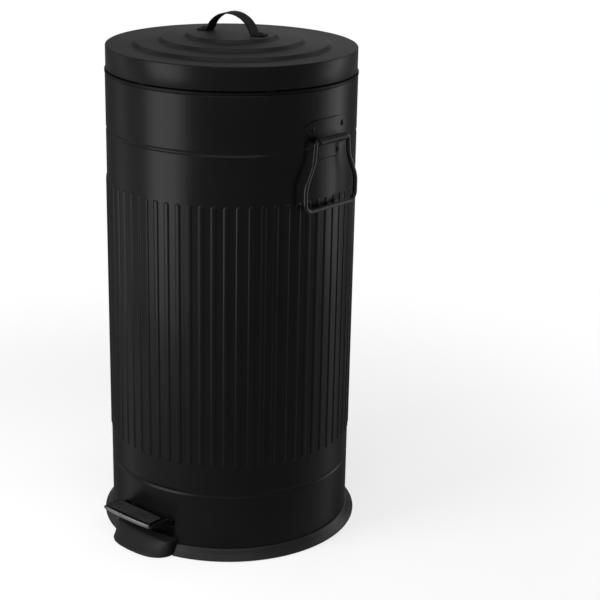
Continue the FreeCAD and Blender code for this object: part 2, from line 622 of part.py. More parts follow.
# finger inside the lid: its lower face is the involute that keeps the rod's dome in touch at every angle
a0, swing = val("rodBack"), math.radians(val("lidSwing"))
z0 = val("capRest - pinHeight")
centre = []
for i in range(25):
    turn = (swing + 0.10) * i / 24 - 0.05
    y, z = -a0, z0 + a0 * turn
    centre.append(Vector(0, y * math.cos(turn) - z * math.sin(turn), y * math.sin(turn) + z * math.cos(turn)))
under = []
for i, p in enumerate(centre):
    d = (centre[min(i + 1, 24)] - centre[max(i - 1, 0)]).normalize()
    n = Vector(0, d.z, -d.y) if -d.y > 0 else Vector(0, -d.z, d.y)
    under.append(p + n * (val("capRadius") + val("liftGap")))
pin = Vector(0, val(pinY), val("pinHeight"))
rootY = val("lidRadius - lidWall") - 0.3 - pin.y
first, last = under[0], under[-1]
outline = [Vector(0, rootY, first.z + 1.2)] + under + [
    last + Vector(0, -1.2, 2.2), Vector(0, last.y + 3, max(p.z for p in under) + val("fingerThick") * 0.75),
    Vector(0, first.y, first.z + val("fingerThick") + 3), Vector(0, rootY, val("armHigh") - 1 - pin.z)]
outline = [p + pin for p in outline]
fingerFace = Part.Face(Part.makePolygon(outline + [outline[0]]))
finger = fingerFace.extrude(Vector(val("fingerWidth"), 0, 0))
finger.translate(Vector(-val("fingerWidth") / 2, 0, 0))
# foot of the finger, riveted through the skirt with the hinge arm
inside = val("lidRadius - lidWall") - 0.05
padLow, padTall = val("armLow + 4"), val("armTall - 5")
pads = Part.makeCylinder(inside, padTall, Vector(0, 0, padLow)).cut(
    Part.makeCylinder(inside - 1.5, padTall + 20, Vector(0, 0, padLow - 10))).common(
    Part.makeBox(2 * val("hingeHalf"), 60, padTall + 20, Vector(-val("hingeHalf"), inside - 28, padLow - 10)))
finger = finger.common(Part.makeCylinder(inside, val("lidTop - pinHeight") + 60, Vector(0, 0, val("pinHeight") - 40))).fuse(pads).removeSplitter()
fingerHoles = roundHoles("HolesFinger", armSpots, 90).Shape
keep("lift_finger", feature("LiftFinger", finger.cut(fingerHoles)))
keep("lid_rivets", feature("LidRivets", Part.makeCompound(
    roundRivets(armSpots, 90, val("lidRadius") + 0.1 + val("leafThick"), val("leafThick + lidWall") + 1.75))))
keep("hinge_rivets", feature("HingeRivets", Part.makeCompound(
    roundRivets(bracketSpots, 90, val("bodyRadius") + 0.1 + val("leafThick"), val("leafThick + wall") + 0.2))))

# soft stops under the lid: they meet the rim collar when the lid is shut
stops = []
for angle in (30, 150, 210, 270, 330):
    low, tall = val("bodyTop + rimHeight") + 0.15, val("lidGap + lidHigh / 2 - 1")
    block = Part.makeBox(5, val("stopWidth"), tall, Vector(val("lidRadius - lidWall") - 5.15, -val("stopWidth") / 2, low))
    block = block.common(Part.makeCylinder(val("lidRadius - lidWall") - 0.05, tall + 10, Vector(0, 0, low - 5)))
    block.rotate(Vector(0, 0, 0), Vector(0, 0, 1), angle)
    stops.append(block)
keep("lid_stops", feature("LidStops", Part.makeCompound(stops)))

# ---------------------------------------------------------------- lift rod with its guides and end caps
rodY = "(bodyRadius + pinGap - rodBack)"
leverTop = "(pivotHeight + barHeight / 2 + padHeight)"
rodLow = "(%s + liftGap + capRadius)" % leverTop
keep("lift_rod", cyl("LiftRod", "rodRadius", "capRest - %s" % rodLow, "0", rodY, rodLow))
capShapes = []
for z, side in ((val("capRest"), 1), (val(rodLow), -1)):
    ball = Part.makeSphere(val("capRadius"), Vector(0, val(rodY), z))
    sleeve = Part.makeCylinder(val("capRadius"), val("capLength"), Vector(0, val(rodY), z), Vector(0, 0, -side))
    capShapes.append(ball.fuse(sleeve).removeSplitter().cut(
        Part.makeCylinder(val("rodRadius"), 30, Vector(0, val(rodY), z), Vector(0, 0, -side))))
keep("rod_caps", feature("RodCaps", Part.makeCompound(capShapes)))
guides = []
for i, height in enumerate((val("guideLow"), val("guideLow + guideApart"))):
    out = val("bodyRadius - wall") - 0.05
    plate = Part.makeCylinder(out, val("guideTall"), Vector(0, 0, height)).cut(
        Part.makeCylinder(out - 1.5, val("guideTall") + 14, Vector(0, 0, height - 5))).common(
        Part.makeBox(2 * val("guideHalf"), 60, val("guideTall") + 4, Vector(-val("guideHalf"), out - 29, height - 2)))
    shelf = Part.makeBox(14, out - val(rodY) + 5.5, 1.8, Vector(-7, val(rodY) - 5.5, height + 7)).common(
        Part.makeCylinder(out - 0.5, 40, Vector(0, 0, height - 5)))
    guide = plate.fuse(shelf).removeSplitter().cut(
        Part.makeCylinder(val("rodRadius + runGap"), 40, Vector(0, val(rodY), height - 8)))
    guides.append(guide)
keep("rod_guides", feature("RodGuides", Part.makeCompound(guides)))

# ---------------------------------------------------------------- lever, axle and pedal
pivotY = "(0 - pivotBack)"
cheekLine = [("3 - treadFront", "treadTop - 3.3"), ("3 - treadFront", "treadTop - 0.1"),
             ("0.5 - treadBack", "treadTop - 0.1"), ("9 - treadBack", "slotHigh - 2.5"),
             ("0 - pivotBack - 40", "slotHigh - 2.2"), ("hubRadius - pivotBack", "pivotHeight + hubRadius"),
             ("hubRadius - pivotBack", "pivotHeight + 0.5 - hubRadius"),
             ("0 - pivotBack - hubRadius", "pivotHeight + 0.5 - hubRadius"), ("0 - pivotBack - 34", "slotHigh - 9.3"),
             ("9 - treadBack", "slotHigh - 8.7"), ("0.5 - treadBack", "treadTop - 7"), ("16.5 - treadFront", "treadTop - 6.1")]
leverParts = []
for i, x0 in enumerate((-val("cheekIn + cheekThick"), val("cheekIn"))):
    corners = [Vector(x0, val(y), val(z)) for y, z in cheekLine]
    side = Part.Face(Part.makePolygon(corners + [corners[0]])).extrude(Vector(val("cheekThick"), 0, 0))
    leverParts.append(feature("Cheek%d" % i, side))
leverParts.append(cyl("Hub", "hubRadius", "2 * (cheekIn + cheekThick)", "0 - cheekIn - cheekThick", pivotY,
                      "pivotHeight", "x"))
leverParts.append(box("RearBar", ("barWidth", "pivotBack + %s + 6" % rodY, "barHeight"),
                      "0 - barWidth / 2", pivotY, "pivotHeight - barHeight / 2"))
leverParts.append(box("RearPad", ("barWidth", "16", "padHeight + 1"), "0 - barWidth / 2", rodY + " - 8",
                      "pivotHeight + barHeight / 2 - 1"))
hubBore = cyl("HubBore", "axleRadius + runGap", "2 * (cheekIn + cheekThick) + 4", "0 - cheekIn - cheekThick - 2",
              pivotY, "pivotHeight", "x")
keep("pedal_lever", cut("PedalLever", fuse("LeverFuse", leverParts), hubBore))
keep("lever_axle", cyl("LeverAxle", "axleRadius", "2 * (cheekIn + cheekThick + lugGap + lugThick + 3.5)",
                       "0 - cheekIn - cheekThick - lugGap - lugThick - 3.5", pivotY, "pivotHeight", "x"))
clips, lugs = [], []
for side in (-1, 1):
    x = side * val("cheekIn + cheekThick + lugGap + lugThick") + (0.1 if side > 0 else -1.6)
    clips.append(Part.makeCylinder(5, 1.5, Vector(x, val(pivotY), val("pivotHeight")), Vector(1, 0, 0)).cut(
        Part.makeCylinder(val("axleRadius") + 0.01, 4, Vector(x - 1, val(pivotY), val("pivotHeight")), Vector(1, 0, 0))))
    x = val("cheekIn + cheekThick + lugGap") if side > 0 else -val("cheekIn + cheekThick + lugGap + lugThick")
    low, mid, foot = val(topOfFloor) + 0.05, val(pivotY), val("lugFoot")
    corners = [Vector(x, mid - foot, low), Vector(x, mid - foot, low + 3), Vector(x, mid - 8, val("pivotHeight") + 3),
               Vector(x, mid - 4, val("pivotHeight") + 7), Vector(x, mid + 4, val("pivotHeight") + 7),
               Vector(x, mid + 8, val("pivotHeight") + 3), Vector(x, mid + foot, low + 3), Vector(x, mid + foot, low)]
    lug = Part.Face(Part.makePolygon(corners + [corners[0]])).extrude(Vector(val("lugThick"), 0, 0))
    flange = Part.makeBox(14, 2 * foot, 2.5, Vector(x if side > 0 else x + val("lugThick") - 14, mid - foot, low))
    lugs.append(lug.fuse(flange).removeSplitter().cut(
        Part.makeCylinder(val("axleRadius") + 0.02, 20, Vector(x - 5, mid, val("pivotHeight")), Vector(1, 0, 0))))
keep("axle_clips", feature("AxleClips", Part.makeCompound(clips)))
keep("pivot_lugs", feature("PivotLugs", Part.makeCompound(lugs)))

pedal = newBody("PedalBody")
polygon(newSketch(pedal, "PedalSide", "YZ_Plane", "0 - cheekIn + 0.05"), [
    ("0 - treadFront", "treadTop + 0.6"), ("0 - treadFront", "treadTop - treadThick + 0.6"),
    ("0 - treadFront + 1.4", "treadTop - treadThick - 0.4"), ("0 - treadBack", "treadTop - treadThick"),
    ("8 - treadBack", "treadTop - 7.5"), ("8 - treadBack", "treadTop - 5"), ("0 - treadBack", "treadTop"), ("0 - treadFront + 4", "treadTop"), ("0 - treadFront + 3.4", "treadTop + 1.6"),
    ("0 - treadFront + 1", "treadTop + 1.6")])
pad(pedal, pedal.Group[-1], "2 * cheekIn - 0.1")
doc.recompute()
keep("pedal_plate", pedal)
rubber = newBody("RubberBody")
polygon(newSketch(rubber, "RubberPlan", "XY_Plane", "treadTop + 0.05"), [
    ("0 - cheekIn + 2", "0 - treadBack - 2"), ("0 - cheekIn + 2", "0 - treadFront + 4.4"),
    ("cheekIn - 2", "0 - treadFront + 4.4"), ("cheekIn - 2", "0 - treadBack - 2")])
pad(rubber, rubber.Group[-1], "rubberThick")
line = newSketch(rubber, "TreadRib", "XY_Plane", "treadTop + 0.05 + rubberThick * 0.5")
polygon(line, [("0 - cheekIn + 3", "0 - treadFront + 5.4"), ("cheekIn - 3", "0 - treadFront + 5.4"),
               ("cheekIn - 3", "0 - treadFront + 6.8"), ("0 - cheekIn + 3", "0 - treadFront + 6.8")])
oneRib = pad(rubber, line, "rubberThick * 0.5 + treadRib")
doc.recompute()
treadRibs = rubber.newObject("PartDesign::LinearPattern", "TreadRibs")
treadRibs.Originals = [oneRib]
treadRibs.Direction = (plane(rubber, "Y_Axis"), [""])
treadRibs.Length = val("treadFront - treadBack - 10")
bind(treadRibs, "Length", "treadFront - treadBack - 10")
treadRibs.Occurrences = 7
rubber.Tip = treadRibs
doc.recompute()
keep("tread_rubber", rubber)

# ---------------------------------------------------------------- swing handles and their ear plates
for word, turn in (("right", 0), ("left", 180)):
    spin = Placement(Vector(0, 0, 0), Rotation(Vector(0, 0, 1), turn))
    plate = newBody("Ear" + word.title())
    earSketch = newSketch(plate, "EarOutline" + word.title(), "YZ_Plane", "bodyRadius - 12")
    polygon(earSketch, [
        ("2 - earWaist", "earLow + 2"), ("4 - earWaist", "earLow"), ("earWaist - 4", "earLow"), ("earWaist - 2", "earLow + 2"),
        ("earWaist", "earNeck - 8"), ("earWaist", "earNeck"), ("earWaist + 6", "earNeck + 0.8"), ("earHalf", "earNeck + 7.5"),
        ("earHalf", "earTop - 6"), ("earHalf - 11.5", "earTop - 2"), ("earHalf - 23.5", "earTop - 0.4"), ("23.5 - earHalf", "earTop - 0.4"),
        ("11.5 - earHalf", "earTop - 2"), ("0 - earHalf", "earTop - 6"), ("0 - earHalf", "earNeck + 7.5"),
        ("0 - earWaist - 6", "earNeck + 0.8"), ("0 - earWaist", "earNeck"), ("0 - earWaist", "earNeck - 8")])
    pad(plate, earSketch, "20")
    tube = cut("EarTube" + word, cyl("EarOut" + word, "bodyRadius + 0.05 + earThick", "80", z="earLow - 10"),
               cyl("EarIn" + word, "bodyRadius + 0.05", "90", z="earLow - 15"))
    flange = common("EarFlange" + word, [tube, plate])
    barrel = cyl("Barrel" + word, "barrelRadius", "2 * barrelHalf", "bodyRadius + bailOut", "0 - barrelHalf",
                 "bailHeight", "y")
    bridge = box("Bridge" + word, ("bailOut + 1.4", "2 * barrelHalf - 10", "4.4"), "bodyRadius - 1.4",
                 "0 - barrelHalf + 5", "bailHeight - 2.2")
    bore = cyl("BailBore" + word, "bailRadius + runGap", "2 * barrelHalf + 6", "bodyRadius + bailOut",
               "0 - barrelHalf - 3", "bailHeight", "y")
    wallCut = cyl("EarWall" + word, "bodyRadius + 0.05", "90", z="earLow - 15")
    ear = cut("EarPlate" + word, fuse("EarFuse" + word, [flange, barrel, bridge]),
              group("EarTools" + word, [bore, wallCut, roundHoles("HolesEar" + word, earSpots, 0)]))
    ear.Placement = spin
    keep("ear_plate_" + word, ear)
    heads = Part.makeCompound(roundRivets(earSpots, 0, val("bodyRadius") + 0.1 + val("earThick"),
                                          val("earThick + wall") + 0.2))
    heads.Placement = spin
    keep("ear_rivets_" + word, feature("EarRivets" + word, heads.copy()))
    nodes["ear_rivets_" + word].Placement = spin
    x, z = val("bodyRadius + bailOut"), val("bailHeight")
    top, wide = val("bailTop"), val("bailWide")
    tuck, elbow, low = val("bailTuck"), val("bailHeight") - 22, val("bailFoot")
    route = [Vector(x, -top + tuck, z), Vector(x, -top, z), Vector(x, -top - 1.7, elbow),
             Vector(x, -wide, val("bailBend")), Vector(x, -wide, low), Vector(x, wide, low),
             Vector(x, wide, val("bailBend")), Vector(x, top + 1.7, elbow), Vector(x, top, z), Vector(x, top - tuck, z)]
    bends = [3.4, 32, 30, 10, 10, 30, 32, 3.4]
    bail = feature("Bail" + word, sweepRound(route, bends, val("bailRadius")))
    bail.Placement = spin
    keep("swing_handle_" + word, bail)

# ---------------------------------------------------------------- inner bucket with its wire handle
shelf = "(bodyTop + rimHeight - collarDepth)"
bucket = newBody("BucketBody")
polygon(newSketch(bucket, "BucketSection", "XZ_Plane"), [
    ("0", "bucketFloor"), ("bucketBottom - 4", "bucketFloor"), ("bucketBottom", "bucketFloor + 4"),
    ("bucketRadius", shelf + " - 1"), ("bucketRadius", shelf + " + 0.05"), ("bucketFlange", shelf + " + 0.05"),
    ("bucketFlange", shelf + " + 2"), ("bucketRadius - bucketWall", shelf + " + 2"),
    ("bucketRadius - bucketWall", shelf + " - 1"), ("bucketBottom - bucketWall", "bucketFloor + 4.6"),
    ("bucketBottom - 4.6", "bucketFloor + bucketWall"), ("0", "bucketFloor + bucketWall")])
revolve(bucket, bucket.Group[-1])
doc.recompute()
keep("inner_bucket", bucket)
earsIn, hoops = [], []
inside = val("bucketRadius - bucketWall")
for side in (-1, 1):
    block = Part.makeBox(3, 16, 14, Vector(inside - 3.7, -8, val(shelf) - 12))
    bore = Part.makeCylinder(1.6, 20, Vector(inside - 10, 0, val(shelf) - 4), Vector(1, 0, 0))
    piece = block.cut(bore)
    piece.rotate(Vector(0, 0, 0), Vector(0, 0, 1), 90 - 90 * side)
    earsIn.append(piece)
keep("bucket_ears", feature("BucketEars", Part.makeCompound(earsIn)))
r, z, bend = inside - 6.5, val(shelf) - 4, 3.0
corner = bend * (1 - math.sqrt(0.5))
wire = Part.Wire([
    Part.LineSegment(Vector(inside - 0.9, 0, z), Vector(r + bend, 0, z)).toShape(),
    Part.Arc(Vector(r + bend, 0, z), Vector(r + corner, -corner, z), Vector(r, -bend, z)).toShape(),
    Part.Arc(Vector(r, -bend, z), Vector(0, -bend - r, z), Vector(-r, -bend, z)).toShape(),
    Part.Arc(Vector(-r, -bend, z), Vector(-r - corner, -corner, z), Vector(-r - bend, 0, z)).toShape(),
    Part.LineSegment(Vector(-r - bend, 0, z), Vector(-inside + 0.9, 0, z)).toShape()])
ring = Part.Wire([Part.Circle(Vector(inside - 0.9, 0, z), Vector(-1, 0, 0), 1.5).toShape()])
keep("bucket_wire", feature("BucketWire", wire.makePipeShell([ring], True, False)))

# ---------------------------------------------------------------- checks and files
doc.recompute()
for thing in doc.Objects:
    if any(word in thing.State for word in ("Invalid", "Error")):
        raise RuntimeError("%s did not compute: %s" % (thing.Name, thing.State))
os.makedirs("parts", exist_ok=True)
whole = FreeCAD.BoundBox()
for name, thing in nodes.items():
    shape = thing.Shape
    if shape.isNull() or not shape.isValid() or not shape.Solids:
        raise RuntimeError("%s has no valid solid" % name)
    shape.exportStep(os.path.join("parts", name + ".step"))
    whole.add(shape.BoundBox)
    print("%-22s solids %2d  volume %10.1f  z %7.2f to %7.2f" % (
        name, len(shape.Solids), shape.Volume, shape.BoundBox.ZMin, shape.BoundBox.ZMax))
print("whole", [round(v, 2) for v in (whole.XMin, whole.XMax, whole.YMin, whole.YMax, whole.ZMin, whole.ZMax)])
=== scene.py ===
import json
import math

import bmesh
import bpy
import numpy as np
from mathutils import Matrix, Vector


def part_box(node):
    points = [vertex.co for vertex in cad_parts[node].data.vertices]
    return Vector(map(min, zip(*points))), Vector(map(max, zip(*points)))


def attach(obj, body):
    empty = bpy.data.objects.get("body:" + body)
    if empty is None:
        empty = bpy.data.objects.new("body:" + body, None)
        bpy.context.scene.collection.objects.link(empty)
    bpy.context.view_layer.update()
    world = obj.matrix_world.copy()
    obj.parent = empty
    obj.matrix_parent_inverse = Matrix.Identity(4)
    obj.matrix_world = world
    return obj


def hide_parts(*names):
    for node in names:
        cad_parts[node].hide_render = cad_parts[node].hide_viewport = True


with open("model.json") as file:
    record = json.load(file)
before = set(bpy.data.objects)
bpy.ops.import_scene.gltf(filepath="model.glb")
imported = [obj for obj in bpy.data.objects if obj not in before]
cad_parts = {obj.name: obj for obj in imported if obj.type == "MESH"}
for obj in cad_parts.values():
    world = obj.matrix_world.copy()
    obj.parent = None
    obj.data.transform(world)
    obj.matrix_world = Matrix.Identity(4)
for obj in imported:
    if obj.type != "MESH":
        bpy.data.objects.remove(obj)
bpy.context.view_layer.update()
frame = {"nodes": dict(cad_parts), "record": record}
nodes = frame["nodes"]
mm = 0.001  # sizes of pieces are in millimetres until skin() makes them metres
print("frame loaded,", len(nodes), "nodes")


# Wraps a node tree and one output in it. Arithmetic on wrapped outputs and numbers adds Math nodes,
# and every other node comes from node().
class Socket:
    def __init__(self, tree, out=None):
        self.tree, self.out = tree, out

    # type of node, its settings, the values or links of its inputs, and which output is wanted
    def node(self, kind, settings=None, inputs=None, out=0):
        made = self.tree.nodes.new(kind)
        for key, value in (settings or {}).items():
            setattr(made, key, value)
        for key, value in (inputs or {}).items():
            if isinstance(value, Socket):
                self.tree.links.new(value.out, made.inputs[key])
            else:
                made.inputs[key].default_value = value
        return Socket(self.tree, made.outputs[out])

    def calc(self, operation, first, second):
        return self.node("ShaderNodeMath", {"operation": operation}, {0: first, 1: second})

    def __add__(self, other):
        return self.calc("ADD", self, other)

    def __radd__(self, other):
        return self.calc("ADD", other, self)

    def __sub__(self, other):
        return self.calc("SUBTRACT", self, other)

    def __rsub__(self, other):
        return self.calc("SUBTRACT", other, self)

    def __mul__(self, other):
        return self.calc("MULTIPLY", self, other)

    def __rmul__(self, other):
        return self.calc("MULTIPLY", other, self)

    # kept between 0 and 1
    def clip(self):
        return self.node("ShaderNodeClamp", None, {0: self})

    # smooth step from low, where the value is start, to high, where it is end
    def ramp(self, start, end, low=0.0, high=1.0):
        return self.node("ShaderNodeMapRange", {"interpolation_type": "SMOOTHSTEP"},
                         {0: self, 1: start, 2: end, 3: low, 4: high})

    def axis(self, letter):
        return self.node("ShaderNodeSeparateXYZ", None, {0: self}, letter)

    def noise(self, scale, detail=3.0, rough=0.5):
        return self.node("ShaderNodeTexNoise", None,
                         {"Vector": self, "Scale": scale, "Detail": detail, "Roughness": rough})

    def bump(self, height, strength, distance):
        return self.node("ShaderNodeBump", None,
                         {"Height": height, "Strength": strength, "Distance": distance})

    # colour that goes from the first to the second as this value goes from 0 to 1
    def mix(self, first, second):
        return self.node("ShaderNodeMix", {"data_type": "RGBA"}, {0: self, 6: first, 7: second}, 2)


# build(place) gives the sockets that vary over the surface; fixed gives those that don't
def newMaterial(name, build, fixed):
    mat = bpy.data.materials.new(name)
    mat.use_nodes = True
    tree = mat.node_tree
    shader = tree.nodes["Principled BSDF"]
    for key, value in fixed.items():
        shader.inputs[key].default_value = value
    place = Socket(tree).node("ShaderNodeTexCoord", out="Object")
    for key, value in build(place).items():
        tree.links.new(value.out, shader.inputs[key])
    return mat


def grey(level, tint=0.0):
    return (level, level, level * (1 + tint), 1)


# the fine peel of a surface scatters what would mirror at a glancing angle
def glancing(place):
    return place.node("ShaderNodeLayerWeight", None, {"Blend": 0.5}, "Facing").ramp(0.42, 0.74)


# In the looks below a scale is in waves per metre, and a height, depth or bump distance in metres.
coatLook = dict(dark=0.002, light=0.006, lightTint=0.04, cloudScale=9, grainScale=1500, speckScale=420,
                dustHeight=0.10, roughSpread=0.08, grainRough=0.04, bump=0.10, bumpDistance=0.00012)


# satin powder coat: orange-peel bump, faint cloudy gloss, and a little dust near the floor
def powderCoat(smoothest, scatter, look=coatLook):
    def build(place):
        cloud = place.noise(look["cloudScale"], 4)
        grain = place.noise(look["grainScale"], 2)
        speck = place.noise(look["speckScale"], 1)
        dust = (1 - place.axis("Z").ramp(0.0, look["dustHeight"])) * cloud.ramp(0.4, 0.7)
        tone = (0.5 * cloud + 0.5 * dust).clip()
        rough = cloud.ramp(0.2, 0.8, smoothest, smoothest + look["roughSpread"]) + look["grainRough"] * grain
        return {"Base Color": tone.mix(grey(look["dark"]), grey(look["light"], look["lightTint"])),
                "Roughness": rough + scatter * glancing(place),
                "Normal": place.bump(0.6 * grain + 0.5 * speck, look["bump"], look["bumpDistance"])}
    return build


# bare is the colour of the painted floor reflection on the front of the lip, and metal its metallic share
lipReflectionLook = dict(coat=0.004, bare=0.11, metal=0.6, cloudScale=60, grainScale=1500, frontEdge=-0.1838,
                  frontFade=-0.1818, topStart=0.0491, topEnd=0.0499, bump=0.08, bumpDistance=0.0001)


# painted reflection: the front of the pedal's lip is painted lighter and glossier, standing in for the white
# floor mirrored there
def lipReflectionCoat(place, look=lipReflectionLook):
    cloud, grain = place.noise(look["cloudScale"], 4), place.noise(look["grainScale"], 2)
    behind = place.axis("Y").ramp(look["frontEdge"], look["frontFade"])
    above = place.axis("Z").ramp(look["topStart"], look["topEnd"])
    # mask of the painted reflection: the front of the lip below its top, in patches
    paintedReflection = (1 - behind) * (1 - above) * cloud.ramp(0.2, 0.6, 0.6, 1.0)
    return {"Base Color": paintedReflection.mix(grey(look["coat"]), grey(look["bare"])),
            "Metallic": look["metal"] * paintedReflection,
            "Roughness": cloud.ramp(0.2, 0.8, 0.28, 0.40) + 0.5 * glancing(place),
            "Normal": place.bump(grain, look["bump"], look["bumpDistance"])}


mouldedLook = dict(dark=0.009, light=0.015, cloudScale=14, grainScale=900.0, bump=0.12, bumpDistance=0.00015)


# moulded plastic: a fine leathery grain and a duller sheen
def moulded(place, look=mouldedLook):
    cloud = place.noise(look["cloudScale"], 4)
    grain = place.node("ShaderNodeTexVoronoi", None, {"Vector": place, "Scale": look["grainScale"]})
    return {"Base Color": cloud.mix(grey(look["dark"]), grey(look["light"])),
            "Roughness": cloud.ramp(0.2, 0.8, 0.32, 0.42) + 0.5 * glancing(place),
            "Normal": place.bump(grain, look["bump"], look["bumpDistance"])}


# the tread's lighter colour is a painted highlight on the tops of its ribs
rubberLook = dict(dark=0.002, light=0.006, cloudScale=40, grainScale=900, bump=0.08, bumpDistance=0.0001,
                  treadDark=0.001, treadHighlight=0.03, treadDeep=0.0009, treadShallow=0.0004)


def rubberSurface(place, cloud, look):
    return {"Roughness": cloud.ramp(0.2, 0.8, 0.60, 0.72),
            "Normal": place.bump(place.noise(look["grainScale"], 2), look["bump"], look["bumpDistance"])}


def rubber(place, look=rubberLook):
    cloud = place.noise(look["cloudScale"], 4)
    return {"Base Color": cloud.mix(grey(look["dark"]), grey(look["light"])),
            **rubberSurface(place, cloud, look)}


# the tread is the same rubber, with the tops of its ribs painted lighter as a painted highlight
def treadRubber(place, look=rubberLook):
    cloud = place.noise(look["cloudScale"], 4)
    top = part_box("tread_rubber")[1][2]
    ribHighlight = place.axis("Z").ramp(top - look["treadDeep"], top - look["treadShallow"])
    tone = ribHighlight * cloud.ramp(0.2, 0.7, 0.6, 1.0)
    return {"Base Color": tone.mix(grey(look["treadDark"]), grey(look["treadHighlight"])),
            **rubberSurface(place, cloud, look)}


zincLook = dict(dark=(0.42, 0.43, 0.44, 1), light=(0.56, 0.57, 0.57, 1), cloudScale=60,
                streakScale=(40, 40, 900), bump=0.1, bumpDistance=0.0001)


# zinc-plated steel: level drawing streaks over a cloudy grey
def zinc(place, look=zincLook):
    cloud = place.noise(look["cloudScale"], 4)
    streak = place.node("ShaderNodeMapping", None, {0: place, "Scale": look["streakScale"]}).noise(1, 4, 0.7)
    return {"Base Color": cloud.mix(look["dark"], look["light"]),
            "Roughness": streak.ramp(0.3, 0.7, 0.28, 0.48),
            "Normal": place.bump(streak, look["bump"], look["bumpDistance"])}


nylonLook = dict(dark=(0.34, 0.34, 0.33, 1), light=(0.45, 0.45, 0.43, 1), cloudScale=80, bump=0.1,
                 bumpDistance=0.0001)


def nylon(place, look=nylonLook):
    cloud = place.noise(look["cloudScale"], 3)
    return {"Base Color": cloud.mix(look["dark"], look["light"]),
            "Roughness": cloud.ramp(0.2, 0.8, 0.40, 0.55),
            "Normal": place.bump(cloud, look["bump"], look["bumpDistance"])}


mirror = "Specular IOR Level"
coat = newMaterial("powder_coat", powderCoat(0.24, 0.55), {mirror: 0.055})
lidCoat = newMaterial("lid_powder_coat", powderCoat(0.24, 0.45), {mirror: 0.055})
strapCoat = newMaterial("strap_powder_coat", powderCoat(0.34, 0.40), {mirror: 0.03})
barCoat = newMaterial("bar_powder_coat", powderCoat(0.20, 0.40), {mirror: 0.11})
# the pedal plate's coat, with a painted reflection of the floor along the front of its lip
lipReflection = newMaterial("powder_coat_lip_reflection", lipReflectionCoat, {mirror: 0.03})
plastic = newMaterial("moulded_plastic", moulded, {mirror: 0.065})
footPlastic = newMaterial("foot_plastic", moulded, {mirror: 0.03})
gum = newMaterial("rubber", rubber, {mirror: 0.03})
# tread material: the lighter tops of its ribs are a painted highlight
tread = newMaterial("tread_rubber", treadRubber, {mirror: 0.01})
steel = newMaterial("zinc_steel", zinc, {"Metallic": 1.0})
polyamide = newMaterial("nylon", nylon, {})

# finish of each material slot in the record, and the two nodes that are duller than their slot
finish = {"black_powder_coat": coat, "black_plastic": plastic, "black_rubber": gum, "zinc_steel": steel,
          "grey_nylon": polyamide}
duller = {"rim_collar": strapCoat, "tread_rubber": tread}
slotOf = {part["node"]: part["material_slot"] for part in frame["record"]["subparts"]}
# width of the softened edges on the nodes that show as they are
bevels = {"hinge_bracket": 0.3, "lid_hinge_arm": 0.3, "hinge_pin": 0.3, "lift_finger": 0.4, "lid_stops": 0.5,
          "rim_collar": 0.5, "rod_guides": 0.2, "pedal_lever": 0.4, "tread_rubber": 0.35, "pivot_lugs": 0.4,
          "lever_axle": 0.4, "axle_clips": 0.2, "floor_plate": 0.3, "floor_screws": 0.3, "foot_screws": 0.3,
          "bucket_ears": 0.4}
for name, thing in nodes.items():
    for place in thing.material_slots:
        place.material = duller.get(name, finish[slotOf[name]])
    if name in bevels:
        edge = thing.modifiers.new("soft_edges", "BEVEL")
        edge.width, edge.segments = bevels[name] * mm, 2
        edge.limit_method, edge.angle_limit = "ANGLE", math.radians(35)
        edge.harden_normals = True
print("materials done")


# One grid of a piece: points[i, j]. It may close along i, as a turned surface does, and across j, as
# the section of a bar does. keep says which of its faces stay.
def patch(points, alongClosed=False, acrossClosed=False, keep=None):
    return points, alongClosed, acrossClosed, keep


# Flat end of a bar: the points of its loop are paired across it, first with last, and every two
# pairs make a face. A way of -1 turns the faces round.
def cap(loop, way=1):
    half = len(loop) // 2
    return patch(np.stack([loop[:half], loop[:half - 1:-1]], 1)[:, ::way])


# Makes one piece from its grids: point (i, j) and the next ones along i and j are a face's corners.
def skin(name, patches, body, slot, replaced=(), look=None):
    verts, quads, count = [], [], 0
    for points, alongClosed, acrossClosed, keep in patches:
        a, b = points.shape[:2]
        i, j = np.meshgrid(np.arange(a if alongClosed else a - 1), np.arange(b if acrossClosed else b - 1),
                           indexing="ij")
        nextI, nextJ = (i + 1) % a, (j + 1) % b
        face = np.stack([i * b + j, nextI * b + j, nextI * b + nextJ, i * b + nextJ], -1)
        face = (face if keep is None else face[keep[i, j]]).reshape(-1, 4) + count
        verts.append(points.reshape(-1, 3))
        quads.append(face)
        count += a * b
    verts, quads = np.concatenate(verts) * mm, np.concatenate(quads)
    mesh = bpy.data.meshes.new(name)
    mesh.vertices.add(len(verts))
    mesh.vertices.foreach_set("co", verts.ravel())
    mesh.loops.add(len(quads) * 4)
    mesh.loops.foreach_set("vertex_index", quads.ravel())
    mesh.polygons.add(len(quads))
    mesh.polygons.foreach_set("loop_start", np.arange(len(quads)) * 4)
    mesh.polygons.foreach_set("loop_total", np.full(len(quads), 4))
    mesh.polygons.foreach_set("use_smooth", np.ones(len(quads), bool))
    mesh.update(calc_edges=True)
    # grids that share a border are joined along it, and the many points of a pole become one
    joined = bmesh.new()
    joined.from_mesh(mesh)
    bmesh.ops.remove_doubles(joined, verts=joined.verts, dist=0.001 * mm)
    joined.to_mesh(mesh)
    joined.free()
    mesh.validate()
    mesh.set_sharp_from_angle(angle=math.radians(50))
    thing = bpy.data.objects.new(name, mesh)
    bpy.context.scene.collection.objects.link(thing)
    mesh.materials.append(look or finish[slot])
    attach(thing, body)
    if replaced:
        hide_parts(*replaced)


